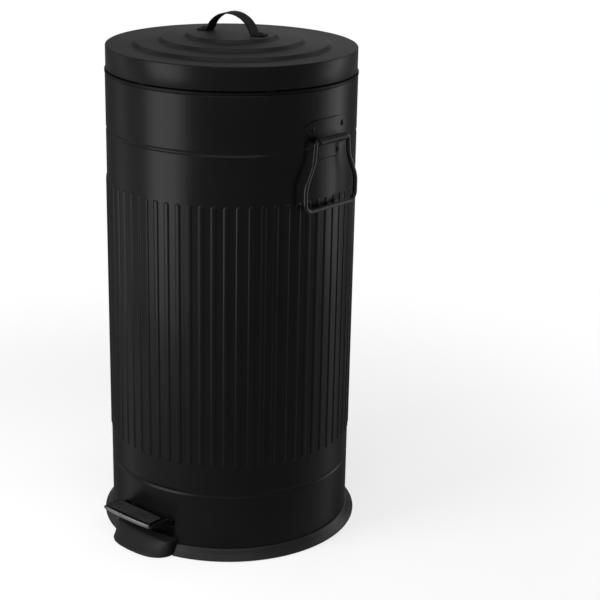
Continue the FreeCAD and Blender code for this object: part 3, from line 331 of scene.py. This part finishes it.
# Polyline with each corner replaced by an arc that is tangent to both sides: the arc's centre lies on
# the line that halves the corner, at radius / sin(half angle) from it. radius may be one per point.
def soften(points, radius, steps=4, closed=False):
    p = np.array(points, float)
    radii = np.broadcast_to(radius, (len(p),))
    out = []
    for i in range(len(p)):
        a, b = p[i - 1] - p[i], p[(i + 1) % len(p)] - p[i]
        lengths = np.linalg.norm(a), np.linalg.norm(b)
        a, b = a / lengths[0], b / lengths[1]
        half = math.acos(np.clip(a @ b, -1, 1)) / 2
        atEnd = not closed and i in (0, len(p) - 1)
        if atEnd or half > math.pi / 2 - 0.02:  # an open end, or nearly straight
            out.append(p[i:i + 1])
            continue
        r = min(radii[i], 0.48 * min(lengths) * math.tan(half))  # arcs of neighbours don't meet
        cut = r / math.tan(half)
        centre = p[i] + (a + b) / np.linalg.norm(a + b) * (r / math.sin(half))
        start, end = p[i] + a * cut - centre, p[i] + b * cut - centre
        turned = math.atan2(start[0] * end[1] - start[1] * end[0], start @ end)
        t = np.linspace(0, turned, steps + 1)[:, None]
        arc = centre + start * np.cos(t) + np.array([-start[1], start[0]]) * np.sin(t)
        # one more point on each side keeps the smoothed normals of long straight runs straight
        give = [min(0.3 * r, 0.2 * max(length - cut, 0)) for length in lengths]
        out += [arc[:1] + a * give[0], arc, arc[-1:] + b * give[1]]
    return np.concatenate(out)


# cubic step from 0 at a to 1 at b: 3 t squared less 2 t cubed
def smooth(x, a, b):
    t = np.clip((x - a) / (b - a), 0, 1)
    return t * t * (3 - 2 * t)


# Points on a turned surface whose radius and height may change with the angle: x is r cos, y is r sin.
def around(angles, r, z):
    t = np.radians(angles)[:, None]
    return np.stack([r * np.cos(t), r * np.sin(t), np.broadcast_to(z, r.shape)], -1)


# profile of (radius, height) points turned once about the upright axis
def lathe(profile, count):
    r, z = np.array(profile).T
    angles = np.linspace(0, 360, count, endpoint=False)
    return around(angles, np.broadcast_to(r, (count, len(r))), z)


# Round bar: at each point of the path a ring of the given radius stands across the path's direction.
def tube(path, radius, sides):
    along = np.gradient(path, axis=0)
    along /= np.linalg.norm(along, axis=1)[:, None]
    side = np.cross(along, [1.0, 0.0, 0.0])
    side /= np.linalg.norm(side, axis=1)[:, None]
    other = np.cross(side, along)
    t = np.linspace(0, 2 * np.pi, sides, endpoint=False)[None, :, None]
    return path[:, None] + radius * (side[:, None] * np.cos(t) + other[:, None] * np.sin(t))


# shell: beads, two rolled grooves and the pedal's slot
shellSize = dict(radius=150.0, wall=1.0, low=3.6, top=569.4,
                 grooves=(83.0, 502.4), grooveDepth=1.3, grooveHalf=3.3,
                 rimTall=2.2, rimIn=0.95, rimPower=2.2,
                 beads=66, beadHalf=3.1, beadDepth=1.1, beadLow=121.0, beadHigh=443.0, beadIn=1.5,
                 beadOut=0.6, slotHalf=43.4, slotLow=20.0, slotHigh=43.4,
                 # where the grid's lines run: distances from a bead's middle, from its ends and from the
                 # top, heights where nothing changes, and shares of a groove's half width
                 beadColumns=(0, 1.15, 1.6, 1.95, 2.4, 2.85, 3.3, 3.7, 4.3),
                 beadRows=(-2.2, -0.9, -0.4, -0.1, 0.25, 0.6, 1.1, 1.7, 2.4, 3.1, 4.5),
                 rimRows=(4.0, 1.9, 1.3, 0.8, 0.4, 0.0), rimRowsInside=(1.9, 0.8, 0.0),
                 plainRows=(10.0, 107.0, 181.0, 281.0, 383.0, 461.0, 540.0), slotRow=33.0,
                 grooveRows=(-1.25, -1.0, -0.86, -0.7, -0.5, -0.25, 0, 0.25, 0.5, 0.7, 0.86, 1.0, 1.25))


# A grid of angles and heights. Its radius is that of the wall line, plus the height of the beads.
def makeShell(s):
    pitch = 360 / s["beads"]
    mmPerDegree = math.radians(1) * s["radius"]
    edge = math.degrees(math.asin(s["slotHalf"] / s["radius"]))
    columns = np.array(s["beadColumns"])
    columns = np.concatenate([-columns[:0:-1], columns]) / mmPerDegree
    fromFront = (np.arange(s["beads"])[:, None] * pitch + pitch / 2 + columns).ravel()
    fromFront = np.append(fromFront, [-edge, edge])
    fromFront = np.unique(np.round((fromFront + 180) % 360 - 180, 5))
    angles = fromFront - 90  # the front looks along -Y
    slotRows = np.array([s["slotLow"], s["slotRow"], s["slotHigh"]])
    ends, grooveRows = np.array(s["beadRows"]), np.array(s["grooveRows"]) * s["grooveHalf"]
    z = np.sort(np.concatenate([[s["low"]], slotRows, s["plainRows"], s["top"] - np.array(s["rimRows"]),
                                s["beadLow"] + ends, s["beadHigh"] - ends] +
                               [g + grooveRows for g in s["grooves"]]))
    zInside = np.sort(np.concatenate([[s["low"]], slotRows, s["top"] - np.array(s["rimRowsInside"])] +
                                     [g + grooveRows[::2] for g in s["grooves"]]))

    # wall line: one cosine wave for each groove, and an upper edge that turns in as a power of its height
    def wallLine(z):
        r = np.full(z.shape, s["radius"])
        for g in s["grooves"]:
            wave = 1 + np.cos(np.pi * np.clip((z - g) / s["grooveHalf"], -1, 1))
            r = r - s["grooveDepth"] * 0.5 * wave
        upRim = np.clip((z - s["top"] + s["rimTall"]) / s["rimTall"], 0, 1)
        return r - s["rimIn"] * upRim ** s["rimPower"]

    # bead: its height falls smoothly with the distance from a straight centre line with round ends
    u = (fromFront % pitch - pitch / 2)[:, None] * mmPerDegree
    v = np.maximum(s["beadLow"] + s["beadHalf"] - z, z - s["beadHigh"] + s["beadHalf"])
    away = np.hypot(u, np.maximum(0, v)[None, :])
    bead = s["beadDepth"] * (1 - smooth(away, s["beadHalf"] - s["beadIn"], s["beadHalf"] + s["beadOut"]))
    outer = around(angles, wallLine(z)[None, :] + bead, z)
    inside = np.broadcast_to(wallLine(zInside) - s["wall"], (len(angles), len(zInside)))
    inner = around(angles, inside, zInside)

    # the faces between these columns and rows are left out for the slot
    inSlot = np.abs((fromFront + np.roll(fromFront, -1)) / 2) < edge
    inSlot[-1] = False

    def leaveSlot(z):
        rows = (z[:-1] + z[1:]) / 2
        return ~(inSlot[:, None] & ((rows > s["slotLow"]) & (rows < s["slotHigh"]))[None, :])

    patches = [patch(outer, alongClosed=True, keep=leaveSlot(z)),
               patch(inner[:, ::-1], alongClosed=True, keep=leaveSlot(zInside)[:, ::-1])]
    for row, way in ((0, 1), (-1, -1)):  # lower and upper rim
        patches.append(patch(np.stack([inner[:, row], outer[:, row]], 1)[:, ::way], alongClosed=True))
    # four strips line the slot between the inside and the outside
    front = angles[np.abs(fromFront) <= edge + 1e-4]
    r = s["radius"] - np.array([s["wall"], 0])
    for height, way in ((s["slotLow"], -1), (s["slotHigh"], 1)):
        patches.append(patch(around(front, np.broadcast_to(r[::way], (len(front), 2)), height)))
    for side, way in ((front[0], 1), (front[-1], -1)):
        strip = around(np.full(3, side), np.broadcast_to(r, (3, 2)), slotRows[:, None])
        patches.append(patch(strip[::way]))
    skin("shell_wall", patches, "shell", "black_powder_coat", ("body_shell",))


makeShell(shellSize)
print("shell done")

# lid: turned-down skirt, three steps that rise to the middle, and the hollow underside
lidSize = dict(radius=149.2, wall=1.0, low=573.8, top=601.0, tiers=(118.8, 88.0, 57.0), slope=4.5, step=3.6,
               rise=1.0, crown=0.12, crownFlat=14.0, edgeBend=1.3, edgeBendInside=0.8, stepBends=(1.5, 1.2),
               crownBend=20.0, hem=0.3, lipOut=0.25, lipIn=0.75, segments=288)


# A profile turned about the upright axis. The underside is the top's profile, drawn in by the wall.
def makeLid(s):
    def side(drop, bend):
        p = [(s["radius"] - drop, s["low"]), (s["radius"] - drop, s["top"] - drop)]
        for i, r in enumerate(s["tiers"]):
            base = s["top"] + (s["step"] + s["rise"]) * i - drop
            p += [(r - 0.4 * drop, base), (r - s["slope"] - 0.4 * drop, base + s["step"])]
        middle = s["top"] + (s["step"] + s["rise"]) * len(s["tiers"]) - drop
        p += [(s["crownFlat"], middle - s["crown"]), (0, middle)]
        bends = [bend] * 2 + list(s["stepBends"]) * len(s["tiers"]) + [s["crownBend"], 1]
        soft = soften(p, bends, 5)
        soft[0, 1] += s["hem"]
        return soft

    outer, inner = side(0, s["edgeBend"]), side(s["wall"], s["edgeBendInside"])
    lip = [(s["radius"] - s["lipIn"], s["low"]), (s["radius"] - s["lipOut"], s["low"])]
    profile = np.concatenate([inner[::-1], lip, outer])
    patches = [patch(lathe(profile, s["segments"]), alongClosed=True)]
    skin("lid_panel_skin", patches, "lid", "black_powder_coat", ("lid_panel",), lidCoat)


makeLid(lidSize)

# strap handle: flat strap with rounded edges, and tabs with round ends
strapSize = dict(width=19.0, thick=1.6, half=30.0, tab=16.0, high=24.0, base=614.28, turn=12.0,
                 spare=0.004,  # keeps the crown just under the CAD box
                 edgeBend=0.45, tabBend=2.2, tabRound=7.0, tabNarrow=0.75, tabPower=2.4,
                 # rows of the tab, how they crowd at its end and what share of it they fill; rows of the
                 # arch, and how many of them the bend at its foot takes up
                 tabRows=14, tabCrowd=1.6, tabShare=0.84, archRows=41, footRows=3, footGap=0.3)


# A section carried along a path. The path is one arc through both feet, whose radius is (half squared
# plus rise squared) over twice the rise, with a small bend at each foot and a level tab.
def makeStrap(s):
    h, thick = s["half"], s["thick"]
    rise = s["high"] - thick - s["spare"]
    arch = (h * h + rise * rise) / (2 * rise)
    span = math.asin(h / arch)
    t = np.linspace(-span, span, s["archRows"])
    level = s["base"] + thick / 2
    mid = arch + thick / 2
    arc = np.stack([mid * np.sin(t), s["base"] + rise - arch + mid * np.cos(t)], 1)
    arc = arc[arc[:, 1] > level + s["footGap"]]
    foot, rows = s["footRows"], s["tabRows"]
    corner = [(-h - s["tab"], level), (-h - s["footGap"], level), tuple(arc[foot])]
    corner = soften(corner, [1, s["tabBend"], 1], 6)[1:-1]
    tabs = -h - s["tab"] + np.linspace(0, 1, rows) ** s["tabCrowd"] * s["tab"] * s["tabShare"]
    left = np.concatenate([np.stack([tabs, np.full(rows, level)], 1), corner])
    path = np.concatenate([left, arc[foot + 1:-foot - 1], left[::-1] * [-1, 1]])
    along = np.gradient(path, axis=0)
    along /= np.linalg.norm(along, axis=1)[:, None]
    normal = np.stack([-along[:, 1], along[:, 0]], 1)
    # the tabs narrow as a superellipse, so their corners are round
    end = np.clip((np.abs(path[:, 0]) - h - s["tab"] + s["tabRound"]) / s["tabRound"], 0, 1)
    narrow = 1 - (1 - np.sqrt(np.clip(1 - end ** s["tabPower"], 0, 1))) * s["tabNarrow"]
    w, c = s["width"] / 2, thick / 2
    section = soften([(-w, -c), (w, -c), (w, c), (-w, c)], s["edgeBend"], 4, closed=True)
    y = section[None, :, 0] * narrow[:, None]
    off = section[None, :, 1]
    x = path[:, None, 0] + normal[:, None, 0] * off
    z = path[:, None, 1] + normal[:, None, 1] * off
    turned = math.radians(s["turn"])
    grid = np.stack([x * math.cos(turned) - y * math.sin(turned),
                     x * math.sin(turned) + y * math.cos(turned), z], -1)
    patches = [patch(grid[:, ::-1], acrossClosed=True), cap(grid[0], -1), cap(grid[-1])]
    skin("strap_handle_skin", patches, "lid", "black_powder_coat", ("strap_handle",), strapCoat)


makeStrap(strapSize)
print("lid and strap done")

# side handle: a round bar bent flat, with both ends turning in the ear plate's barrel
barSize = dict(radius=2.6, out=156.3, pivot=512.0, top=28.8, wide=44.5, foot=433.0, bend=462.0, tuck=9.3,
               elbow=490.0, elbowOut=1.7, bends=(1, 3.4, 32, 30, 10), sides=20)


# A ring carried along a bent path that is the same on both sides of the middle.
def makeBar(sign, word, s):
    route = [(-s["top"] + s["tuck"], s["pivot"]), (-s["top"], s["pivot"]),
             (-s["top"] - s["elbowOut"], s["elbow"]), (-s["wide"], s["bend"]), (-s["wide"], s["foot"])]
    route += [(-y, z) for y, z in route[::-1]]
    flat = soften(route, s["bends"] + s["bends"][::-1], 9)
    path = np.stack([np.full(len(flat), s["out"]), flat[:, 0], flat[:, 1]], 1)
    bar = tube(path, s["radius"], s["sides"])
    bar[..., 0] *= sign
    patches = [patch(bar[:, ::sign], acrossClosed=True), cap(bar[0], sign), cap(bar[-1], -sign)]
    skin("swing_bar_" + word, patches, word + "_handle", "black_powder_coat", ("swing_handle_" + word,),
         barCoat)


# ear plate, bent round the shell, with the barrel rolled out of it; outline is half width and height
earSize = dict(radius=150.05, thick=1.2, low=489.0, top=536.6, out=156.3, height=512.0, barrel=4.2, half=24.5,
               outline=((16.5, 489.0), (19.2, 491.0), (21, 508), (21, 516.2), (27, 516.8), (35.5, 523.4),
                        (35.5, 530.8), (24, 534.8), (12, 536.6)), bends=(1, 2, 8, 3, 7, 4, 4, 20, 1),
               borderColumns=(0, 0.006, 0.016, 0.035, 0.1), middleColumns=17, middleShare=0.75,
               borderOut=-0.25, borderIn=0.45,
               web=1.3, webTall=4.5, webStart=3.0, webEnd=5.5, segments=28,
               # the barrel's mouth: radius, and distance from its end
               mouth=((2.66, 1.6), (2.66, 0.4), (3.0, 0), (3.8, 0), (4.2, 0.4), (4.2, 1.5)))


# A grid between the outline's two sides. It stands off the shell by a smooth step of the distance from
# its border, plus a web that falls off with the fourth power of the height above or below the barrel.
def makeEar(sign, word, s):
    outline = soften(s["outline"], s["bends"], 5)
    z = outline[:, 1] + np.arange(len(outline)) * 1e-4
    halfWide = outline[:, 0]
    border = np.array(s["borderColumns"])
    middle = np.linspace(-s["middleShare"], s["middleShare"], s["middleColumns"])
    t = np.concatenate([-1 + border, middle, 1 - border[::-1]])
    y = halfWide[:, None] * t[None, :]
    zz = np.broadcast_to(z[:, None], y.shape)
    inwards = np.minimum(halfWide[:, None] * (1 - np.abs(t))[None, :],
                         np.minimum(zz - s["low"], s["top"] - zz))
    lift = s["thick"] * smooth(inwards, s["borderOut"], s["borderIn"])
    lift[[0, -1]] = 0
    lift[:, [0, -1]] = 0
    web = s["web"] * np.exp(-((zz - s["height"]) / s["webTall"]) ** 4)
    web = web * smooth(np.abs(y), s["half"] - s["webStart"], s["half"] - s["webEnd"])
    r = s["radius"] + lift + web
    a = np.arcsin(y / s["radius"])
    plate = np.stack([r * np.cos(a), r * np.sin(a), zz], -1)
    # the back lies on the shell and shares the plate's border
    back = plate.copy()
    back[1:-1, 1:-1, 0] = (s["radius"] * np.cos(a))[1:-1, 1:-1]
    back[1:-1, 1:-1, 1] = y[1:-1, 1:-1]
    # barrel: its profile turned about its own level axis, closed through the bore
    mouth = np.array(s["mouth"])
    profile = np.concatenate([mouth - [0, s["half"]], [(s["barrel"], 0)],
                              (mouth * [1, -1] + [0, s["half"]])[::-1]])
    turned = np.linspace(0, 2 * np.pi, s["segments"], endpoint=False)[:, None]
    barrel = np.stack([s["out"] + profile[:, 0] * np.cos(turned),
                       np.broadcast_to(profile[:, 1], (s["segments"], len(profile))),
                       s["height"] + profile[:, 0] * np.sin(turned)], -1)
    for grid in (plate, back, barrel):
        grid[..., 0] *= sign
    skin("ear_skin_" + word, [patch(plate[:, ::-sign]), patch(back[:, ::sign]),
                              patch(barrel[:, ::-sign], alongClosed=True, acrossClosed=True)],
         "shell", "black_powder_coat", ("ear_plate_" + word,))


for sign, word in ((1, "right"), (-1, "left")):
    makeBar(sign, word, barSize)
    makeEar(sign, word, earSize)
print("side handles done")

# base ring: runs down from the wall as a hollow curve to a thin rounded foot, open at the front
ringSize = dict(wall=150.05, top=13.4, foot=160.5, low=0.6, heel=141.0, flangeTop=3.0, ledge=147.0,
                skirt=148.9, skirtTop=12.4, skirtLow=3.5, seam=8.0, bends=(1, 0.6, 4, 9, 0.8, 0.4, 0.4, 0.2),
                gapHalf=47.0, gapDeep=139.5, gapFlare=3 / 33, segments=241,
                flange=((134.0, 2.9), (141.5, 2.9), (141.5, 0.7), (134.0, 0.7)), flangeSegments=128)


# The section turned about the upright axis, from one side of the gap round to the other. The gap's half
# width grows with the distance in front of gapDeep, so each point of the section starts at its own angle.
def makeBase(s):
    outside = [(s["wall"], s["top"]), (s["wall"] + 1.5, s["top"]), (s["wall"] + 2.5, s["top"] - 1.2),
               (s["wall"] + 5.6, s["top"] * 0.5), (s["foot"] - 0.9, s["low"] + 1.7),
               (s["foot"], s["low"] + 1.1), (s["foot"], s["low"] + 0.2), (s["foot"] - 0.4, s["low"])]
    inside = [(s["heel"], s["low"]), (s["heel"], s["flangeTop"]), (s["ledge"], s["flangeTop"]),
              (s["ledge"], s["skirtTop"]), (s["skirt"], s["skirtTop"]), (s["skirt"], s["skirtLow"]),
              (s["wall"], s["skirtLow"]), (s["wall"], s["seam"])]
    r, z = np.concatenate([soften(outside, s["bends"], 4), inside]).T
    forward = np.sqrt(np.maximum(r ** 2 - s["gapHalf"] ** 2, 1)) - s["gapDeep"]
    start = np.degrees(np.arcsin((s["gapHalf"] + s["gapFlare"] * np.clip(forward, 0, 40)) / r))
    share = np.linspace(0, 1, s["segments"])[:, None]
    t = np.radians(-90 + start + (360 - 2 * start) * share)
    ring = np.stack([r * np.cos(t), r * np.sin(t), np.broadcast_to(z, t.shape)], -1)
    patches = [patch(ring[:, ::-1], acrossClosed=True), cap(ring[0], -1), cap(ring[-1]),
               patch(lathe(s["flange"], s["flangeSegments"]), alongClosed=True, acrossClosed=True)]
    skin("base_ring_skin", patches, "shell", "black_plastic", ("base_ring",))


makeBase(ringSize)

# foot under the pedal: a tongue with a broad round plan on the floor and a straighter one at the crest
footSize = dict(half=47.0, reach=179.0, top=19.0, low=0.6, back=139.8, crest=160.0, shellRadius=150.12,
                backIn=3.0, backDown=4.0, backNarrow=0.97, cornerIn=0.8, points=97, rounds=6,
                # half of each plan, from side to middle: how far in from the side, how far behind the front
                floorPlan=((0, 28), (1.2, 19), (6.2, 11), (14.7, 5), (25.7, 1.6), (37, 0.3), (47, 0)),
                crestPlan=((0.6, 9.5), (1.2, 4), (4.5, 1.6), (14.7, 0.8), (25.7, 0.3), (37, 0), (47, 0)),
                # share of the way from the floor's plan to the crest's, how far drawn in, how high
                layers=((0, 0.5, 0), (0, 0.12, 0.2), (0, 0, 0.7), (0.02, 0, 1.7), (0.13, 0, 3.2),
                        (0.34, 0, 6.5), (0.55, 0, 10), (0.74, 0, 13.4), (0.9, 0, 16.6), (0.97, 0.05, 17.6),
                        (1, 0.35, 18.15), (1, 1, 18.4), (1, 2.2, 18.4)))


# Layers of one outline each: a mix of both plans, drawn in along its own normal, at the layer's height.
def makeFoot(s):
    count = s["points"]

    # even steps along the mirrored outline, smoothed by a short moving average
    def plan(reach, offsets):
        corner = [[s["half"] - s["cornerIn"], -s["back"]]]
        p = np.concatenate([corner, np.array(offsets) * [-1, 1] + [s["half"], -reach]])
        p = np.concatenate([p, p[-2::-1] * [-1, 1]])
        run = np.concatenate([[0], np.cumsum(np.linalg.norm(np.diff(p, axis=0), axis=1))])
        t = np.linspace(0, run[-1], count)
        q = np.stack([np.interp(t, run, p[:, 0]), np.interp(t, run, p[:, 1])], 1)
        for _ in range(s["rounds"]):
            q[1:-1] = (q[:-2] + 2 * q[1:-1] + q[2:]) / 4
        return q

    def at(outline, height):
        return np.concatenate([outline, np.full((count, 1), height)], 1)

    low, high = plan(s["reach"], s["floorPlan"]), plan(s["crest"], s["crestPlan"])
    tall = s["top"] - s["low"]
    layers = [at(np.stack([low[:, 0] * s["backNarrow"], np.full(count, -s["back"])], 1), s["low"])]
    for share, inset, rise in s["layers"]:
        p = low + (high - low) * share
        along = np.gradient(p, axis=0)
        normal = np.stack([-along[:, 1], along[:, 0]], 1) / np.linalg.norm(along, axis=1)[:, None]
        normal *= np.sign((normal * (p - [0, -s["shellRadius"]])).sum(1).mean())  # outwards
        layers.append(at(p - normal * inset, s["low"] + rise))
    x = high[:, 0] * s["backNarrow"]
    back = np.stack([x, -np.sqrt(s["shellRadius"] ** 2 - x ** 2)], 1)
    layers += [at(back, s["low"] + tall), at(back + [0, s["backIn"]], s["low"] + tall - s["backDown"])]
    # the last layer joins the first, and both ends are closed
    grid = np.stack(layers, 1)
    patches = [patch(grid[:, ::-1], acrossClosed=True), cap(grid[0], -1), cap(grid[-1])]
    skin("front_foot_skin", patches, "shell", "black_plastic", ("front_foot",), footPlastic)


makeFoot(footSize)
print("base done")

# pedal: pressed plate with a rounded lip; the ridged tread behind it is the CAD node's own
pedalSize = dict(half=38.75, front=184.5, back=157.0, top=48.5, thick=4.0, lip=1.6, bow=1.6, bowPower=2.5,
                 endColumns=(0, 0.25, 0.7, 1.4, 3, 8), endShrink=(1.1, 0.55, 0.2, 0.04, 0, 0),
                 middleColumns=9, middleHalf=24.0,
                 bends=(0.6, 0.6, 2.5, 0.8, 0.7, 1.3, 1.5, 1.5, 1.0, 2.5))


# The section carried from side to side. Towards both ends it shrinks a little to its middle, which
# rounds them, and its front is bowed back by a power of the distance from the middle.
def makePedal(s):
    f, b, t = -s["front"], -s["back"], s["top"]
    section = [(b + 8, t - 7.5), (b + 8, t - 5), (b, t), (f + 4, t), (f + 3.2, t + s["lip"]),
               (f + 0.5, t + s["lip"]), (f, t - 0.2), (f, t - 3.4), (f + 1.4, t - 4.4), (b, t - s["thick"])]
    loop = soften(section, s["bends"], 5, closed=True)
    toMiddle = loop - loop.mean(0)
    toMiddle = np.sign(toMiddle) * np.minimum(np.abs(toMiddle), 1.0)
    end, shrink = np.array(s["endColumns"]) - s["half"], np.array(s["endShrink"])
    middle = np.linspace(-s["middleHalf"], s["middleHalf"], s["middleColumns"])
    x = np.concatenate([end, middle, -end[::-1]])
    shrink = np.concatenate([shrink, 0 * middle, shrink[::-1]])
    points = loop[None] - toMiddle[None] * shrink[:, None, None]
    bow = s["bow"] * (np.abs(x) / s["half"]) ** s["bowPower"]
    y = points[..., 0] + bow[:, None] * smooth(-points[..., 0], s["back"] + 10, s["front"])
    grid = np.stack([np.broadcast_to(x[:, None], y.shape), y, points[..., 1]], -1)
    patches = [patch(grid[:, ::-1], acrossClosed=True), cap(grid[0], -1), cap(grid[-1])]
    # the plate's material paints a reflection of the floor on the front of its lip
    skin("pedal_plate_skin", patches, "pedal", "black_powder_coat", ("pedal_plate",), lipReflection)


makePedal(pedalSize)

# bucket: moulded wall with a flange that rests on the collar
bucketSize = dict(radius=129.6, bottom=122.0, floor=70.0, wall=1.2, flange=134.4, flangeTall=1.9,
                  shelf=546.25, bends=(1, 3, 3, 1, 0.5, 0.3, 0.9, 0.8, 2, 2.6, 2.6, 1), segments=200)


# a profile turned about the upright axis: up the outside, over the flange and down the inside
def makeBucket(s):
    z, w = s["shelf"], s["wall"]
    outer = [(0, s["floor"]), (s["bottom"] - 4, s["floor"]), (s["bottom"], s["floor"] + 4),
             (s["radius"], z - 1), (s["radius"], z), (s["flange"], z), (s["flange"], z + s["flangeTall"])]
    inner = [(s["radius"] - w, z + s["flangeTall"]), (s["radius"] - w, z - 1),
             (s["bottom"] - w, s["floor"] + 5), (s["bottom"] - 5, s["floor"] + w), (0, s["floor"] + w)]
    profile = soften(outer + inner, s["bends"], 4)
    skin("bucket_skin", [patch(lathe(profile, s["segments"]), alongClosed=True)], "shell", "black_plastic",
         ("inner_bucket",))


makeBucket(bucketSize)
print("pedal and bucket done")

# camera: a little over the lid, turned from the pedal's side; focal is in pixels of a 600-pixel picture
view = dict(turn=43, focal=1544.613, away=1.822386, up=0.915116, pitch=0.3345486, yaw=0.0474441,
            roll=0.0209622)


# The line of sight turns by yaw and dips by pitch; the frame rolls about it; then all turn by turn.
def makeCamera(v):
    ahead = Vector((math.sin(v["yaw"]) * math.cos(v["pitch"]), math.cos(v["yaw"]) * math.cos(v["pitch"]),
                    -math.sin(v["pitch"])))
    right = Vector((math.cos(v["yaw"]), -math.sin(v["yaw"]), 0))
    above = right.cross(ahead)
    x = right * math.cos(v["roll"]) + above * math.sin(v["roll"])
    y = above * math.cos(v["roll"]) - right * math.sin(v["roll"])
    spin = Matrix.Rotation(math.radians(v["turn"]), 3, "Z")
    x, y, z = spin @ x, spin @ y, spin @ -ahead
    place = spin @ Vector((0, -v["away"], v["up"]))
    data = bpy.data.cameras.new("camera")
    data.lens, data.sensor_width, data.clip_end = v["focal"] / 600 * 36, 36, 60
    camera = bpy.data.objects.new("camera", data)
    camera.matrix_world = Matrix(((x.x, y.x, z.x, place.x), (x.y, y.y, z.y, place.y),
                                  (x.z, y.z, z.z, place.z), (0, 0, 0, 1)))
    bpy.context.scene.collection.objects.link(camera)
    bpy.context.scene.camera = camera


makeCamera(view)

# floor, world and lamps; a lamp is its bearing from the camera in degrees, height, distance, width,
# tallness and power, and the floor turns from shaded to blank white between two distances
room = dict(side=14.0, blankFrom=0.36, blankTo=0.95, shade=0.3, glow=0.66, dim=0.05, sky=0.14, aim=0.35,
            lamps={"left_panel": (-57, 0.42, 0.95, 0.55, 0.84, 14),
                   "right_panel": (104, 0.42, 1.2, 0.7, 0.84, 6),
                   "front_panel": (0, 1.3, 1.35, 1.5, 0.35, 11),
                   "top_panel": (0, 2.0, 0.05, 1.5, 0.5, 8),
                   "back_panel": (170, 0.9, 2.3, 1.2, 1.4, 13)})


# 1 for rays that show the room: the camera's own, and those that gloss or glass sends on
def showsRoom(tree):
    camera, gloss, glass = (Socket(tree).node("ShaderNodeLightPath", out="Is %s Ray" % ray)
                            for ray in ("Camera", "Glossy", "Transmission"))
    return (camera + gloss + glass).clip()


# Rays that show the room see a white sheet that keeps the soft shadow near the part; others meet a dark
# floor and a dim sky.
def makeRoom(v):
    scene = bpy.context.scene
    scene.view_settings.view_transform = "Standard"
    side = v["side"]
    mesh = bpy.data.meshes.new("floor")
    corners = [(-side, -side, 0), (side, -side, 0), (side, side, 0), (-side, side, 0)]
    mesh.from_pydata(corners, [], [(0, 1, 2, 3)])
    floor = bpy.data.objects.new("floor", mesh)
    scene.collection.objects.link(floor)
    mat = bpy.data.materials.new("floor")
    mat.use_nodes = True
    tree = mat.node_tree
    tree.nodes.remove(tree.nodes["Principled BSDF"])
    bare, white = Socket(tree), (1, 1, 1, 1)
    place = bare.node("ShaderNodeTexCoord", out="Object")
    distance = bare.node("ShaderNodeVectorMath", {"operation": "LENGTH"}, {0: place}, "Value")
    shade = bare.node("ShaderNodeBsdfDiffuse", None, {"Color": grey(v["shade"])})
    glow = bare.node("ShaderNodeEmission", None, {"Color": white, "Strength": v["glow"]})
    blank = bare.node("ShaderNodeEmission", None, {"Color": white, "Strength": 1.0})
    near = bare.node("ShaderNodeAddShader", None, {0: shade, 1: glow})
    sheet = bare.node("ShaderNodeMixShader", None,
                      {0: distance.ramp(v["blankFrom"], v["blankTo"]), 1: near, 2: blank})
    dim = bare.node("ShaderNodeBsdfDiffuse", None, {"Color": grey(v["dim"])})
    seen = bare.node("ShaderNodeMixShader", None, {0: showsRoom(tree), 1: dim, 2: sheet})
    tree.links.new(seen.out, tree.nodes["Material Output"].inputs["Surface"])
    mesh.materials.append(mat)
    world = bpy.data.worlds.new("world")
    scene.world = world
    world.use_nodes = True
    sky = world.node_tree
    back = sky.nodes["Background"]
    back.inputs["Color"].default_value = white
    sky.links.new(((1 - v["sky"]) * showsRoom(sky) + v["sky"]).out, back.inputs["Strength"])
    for name, (bearing, height, away, wide, tall, power) in v["lamps"].items():
        angle = math.radians(view["turn"] - 90 + bearing)
        data = bpy.data.lights.new(name, "AREA")
        data.shape, data.size, data.size_y, data.energy = "RECTANGLE", wide, tall, power
        lamp = bpy.data.objects.new(name, data)
        lamp.location = (away * math.cos(angle), away * math.sin(angle), height)
        aim = Vector((0, 0, v["aim"])) - lamp.location
        lamp.rotation_euler = aim.to_track_quat("-Z", "Y").to_euler()
        scene.collection.objects.link(lamp)


makeRoom(room)
print("camera and room done")
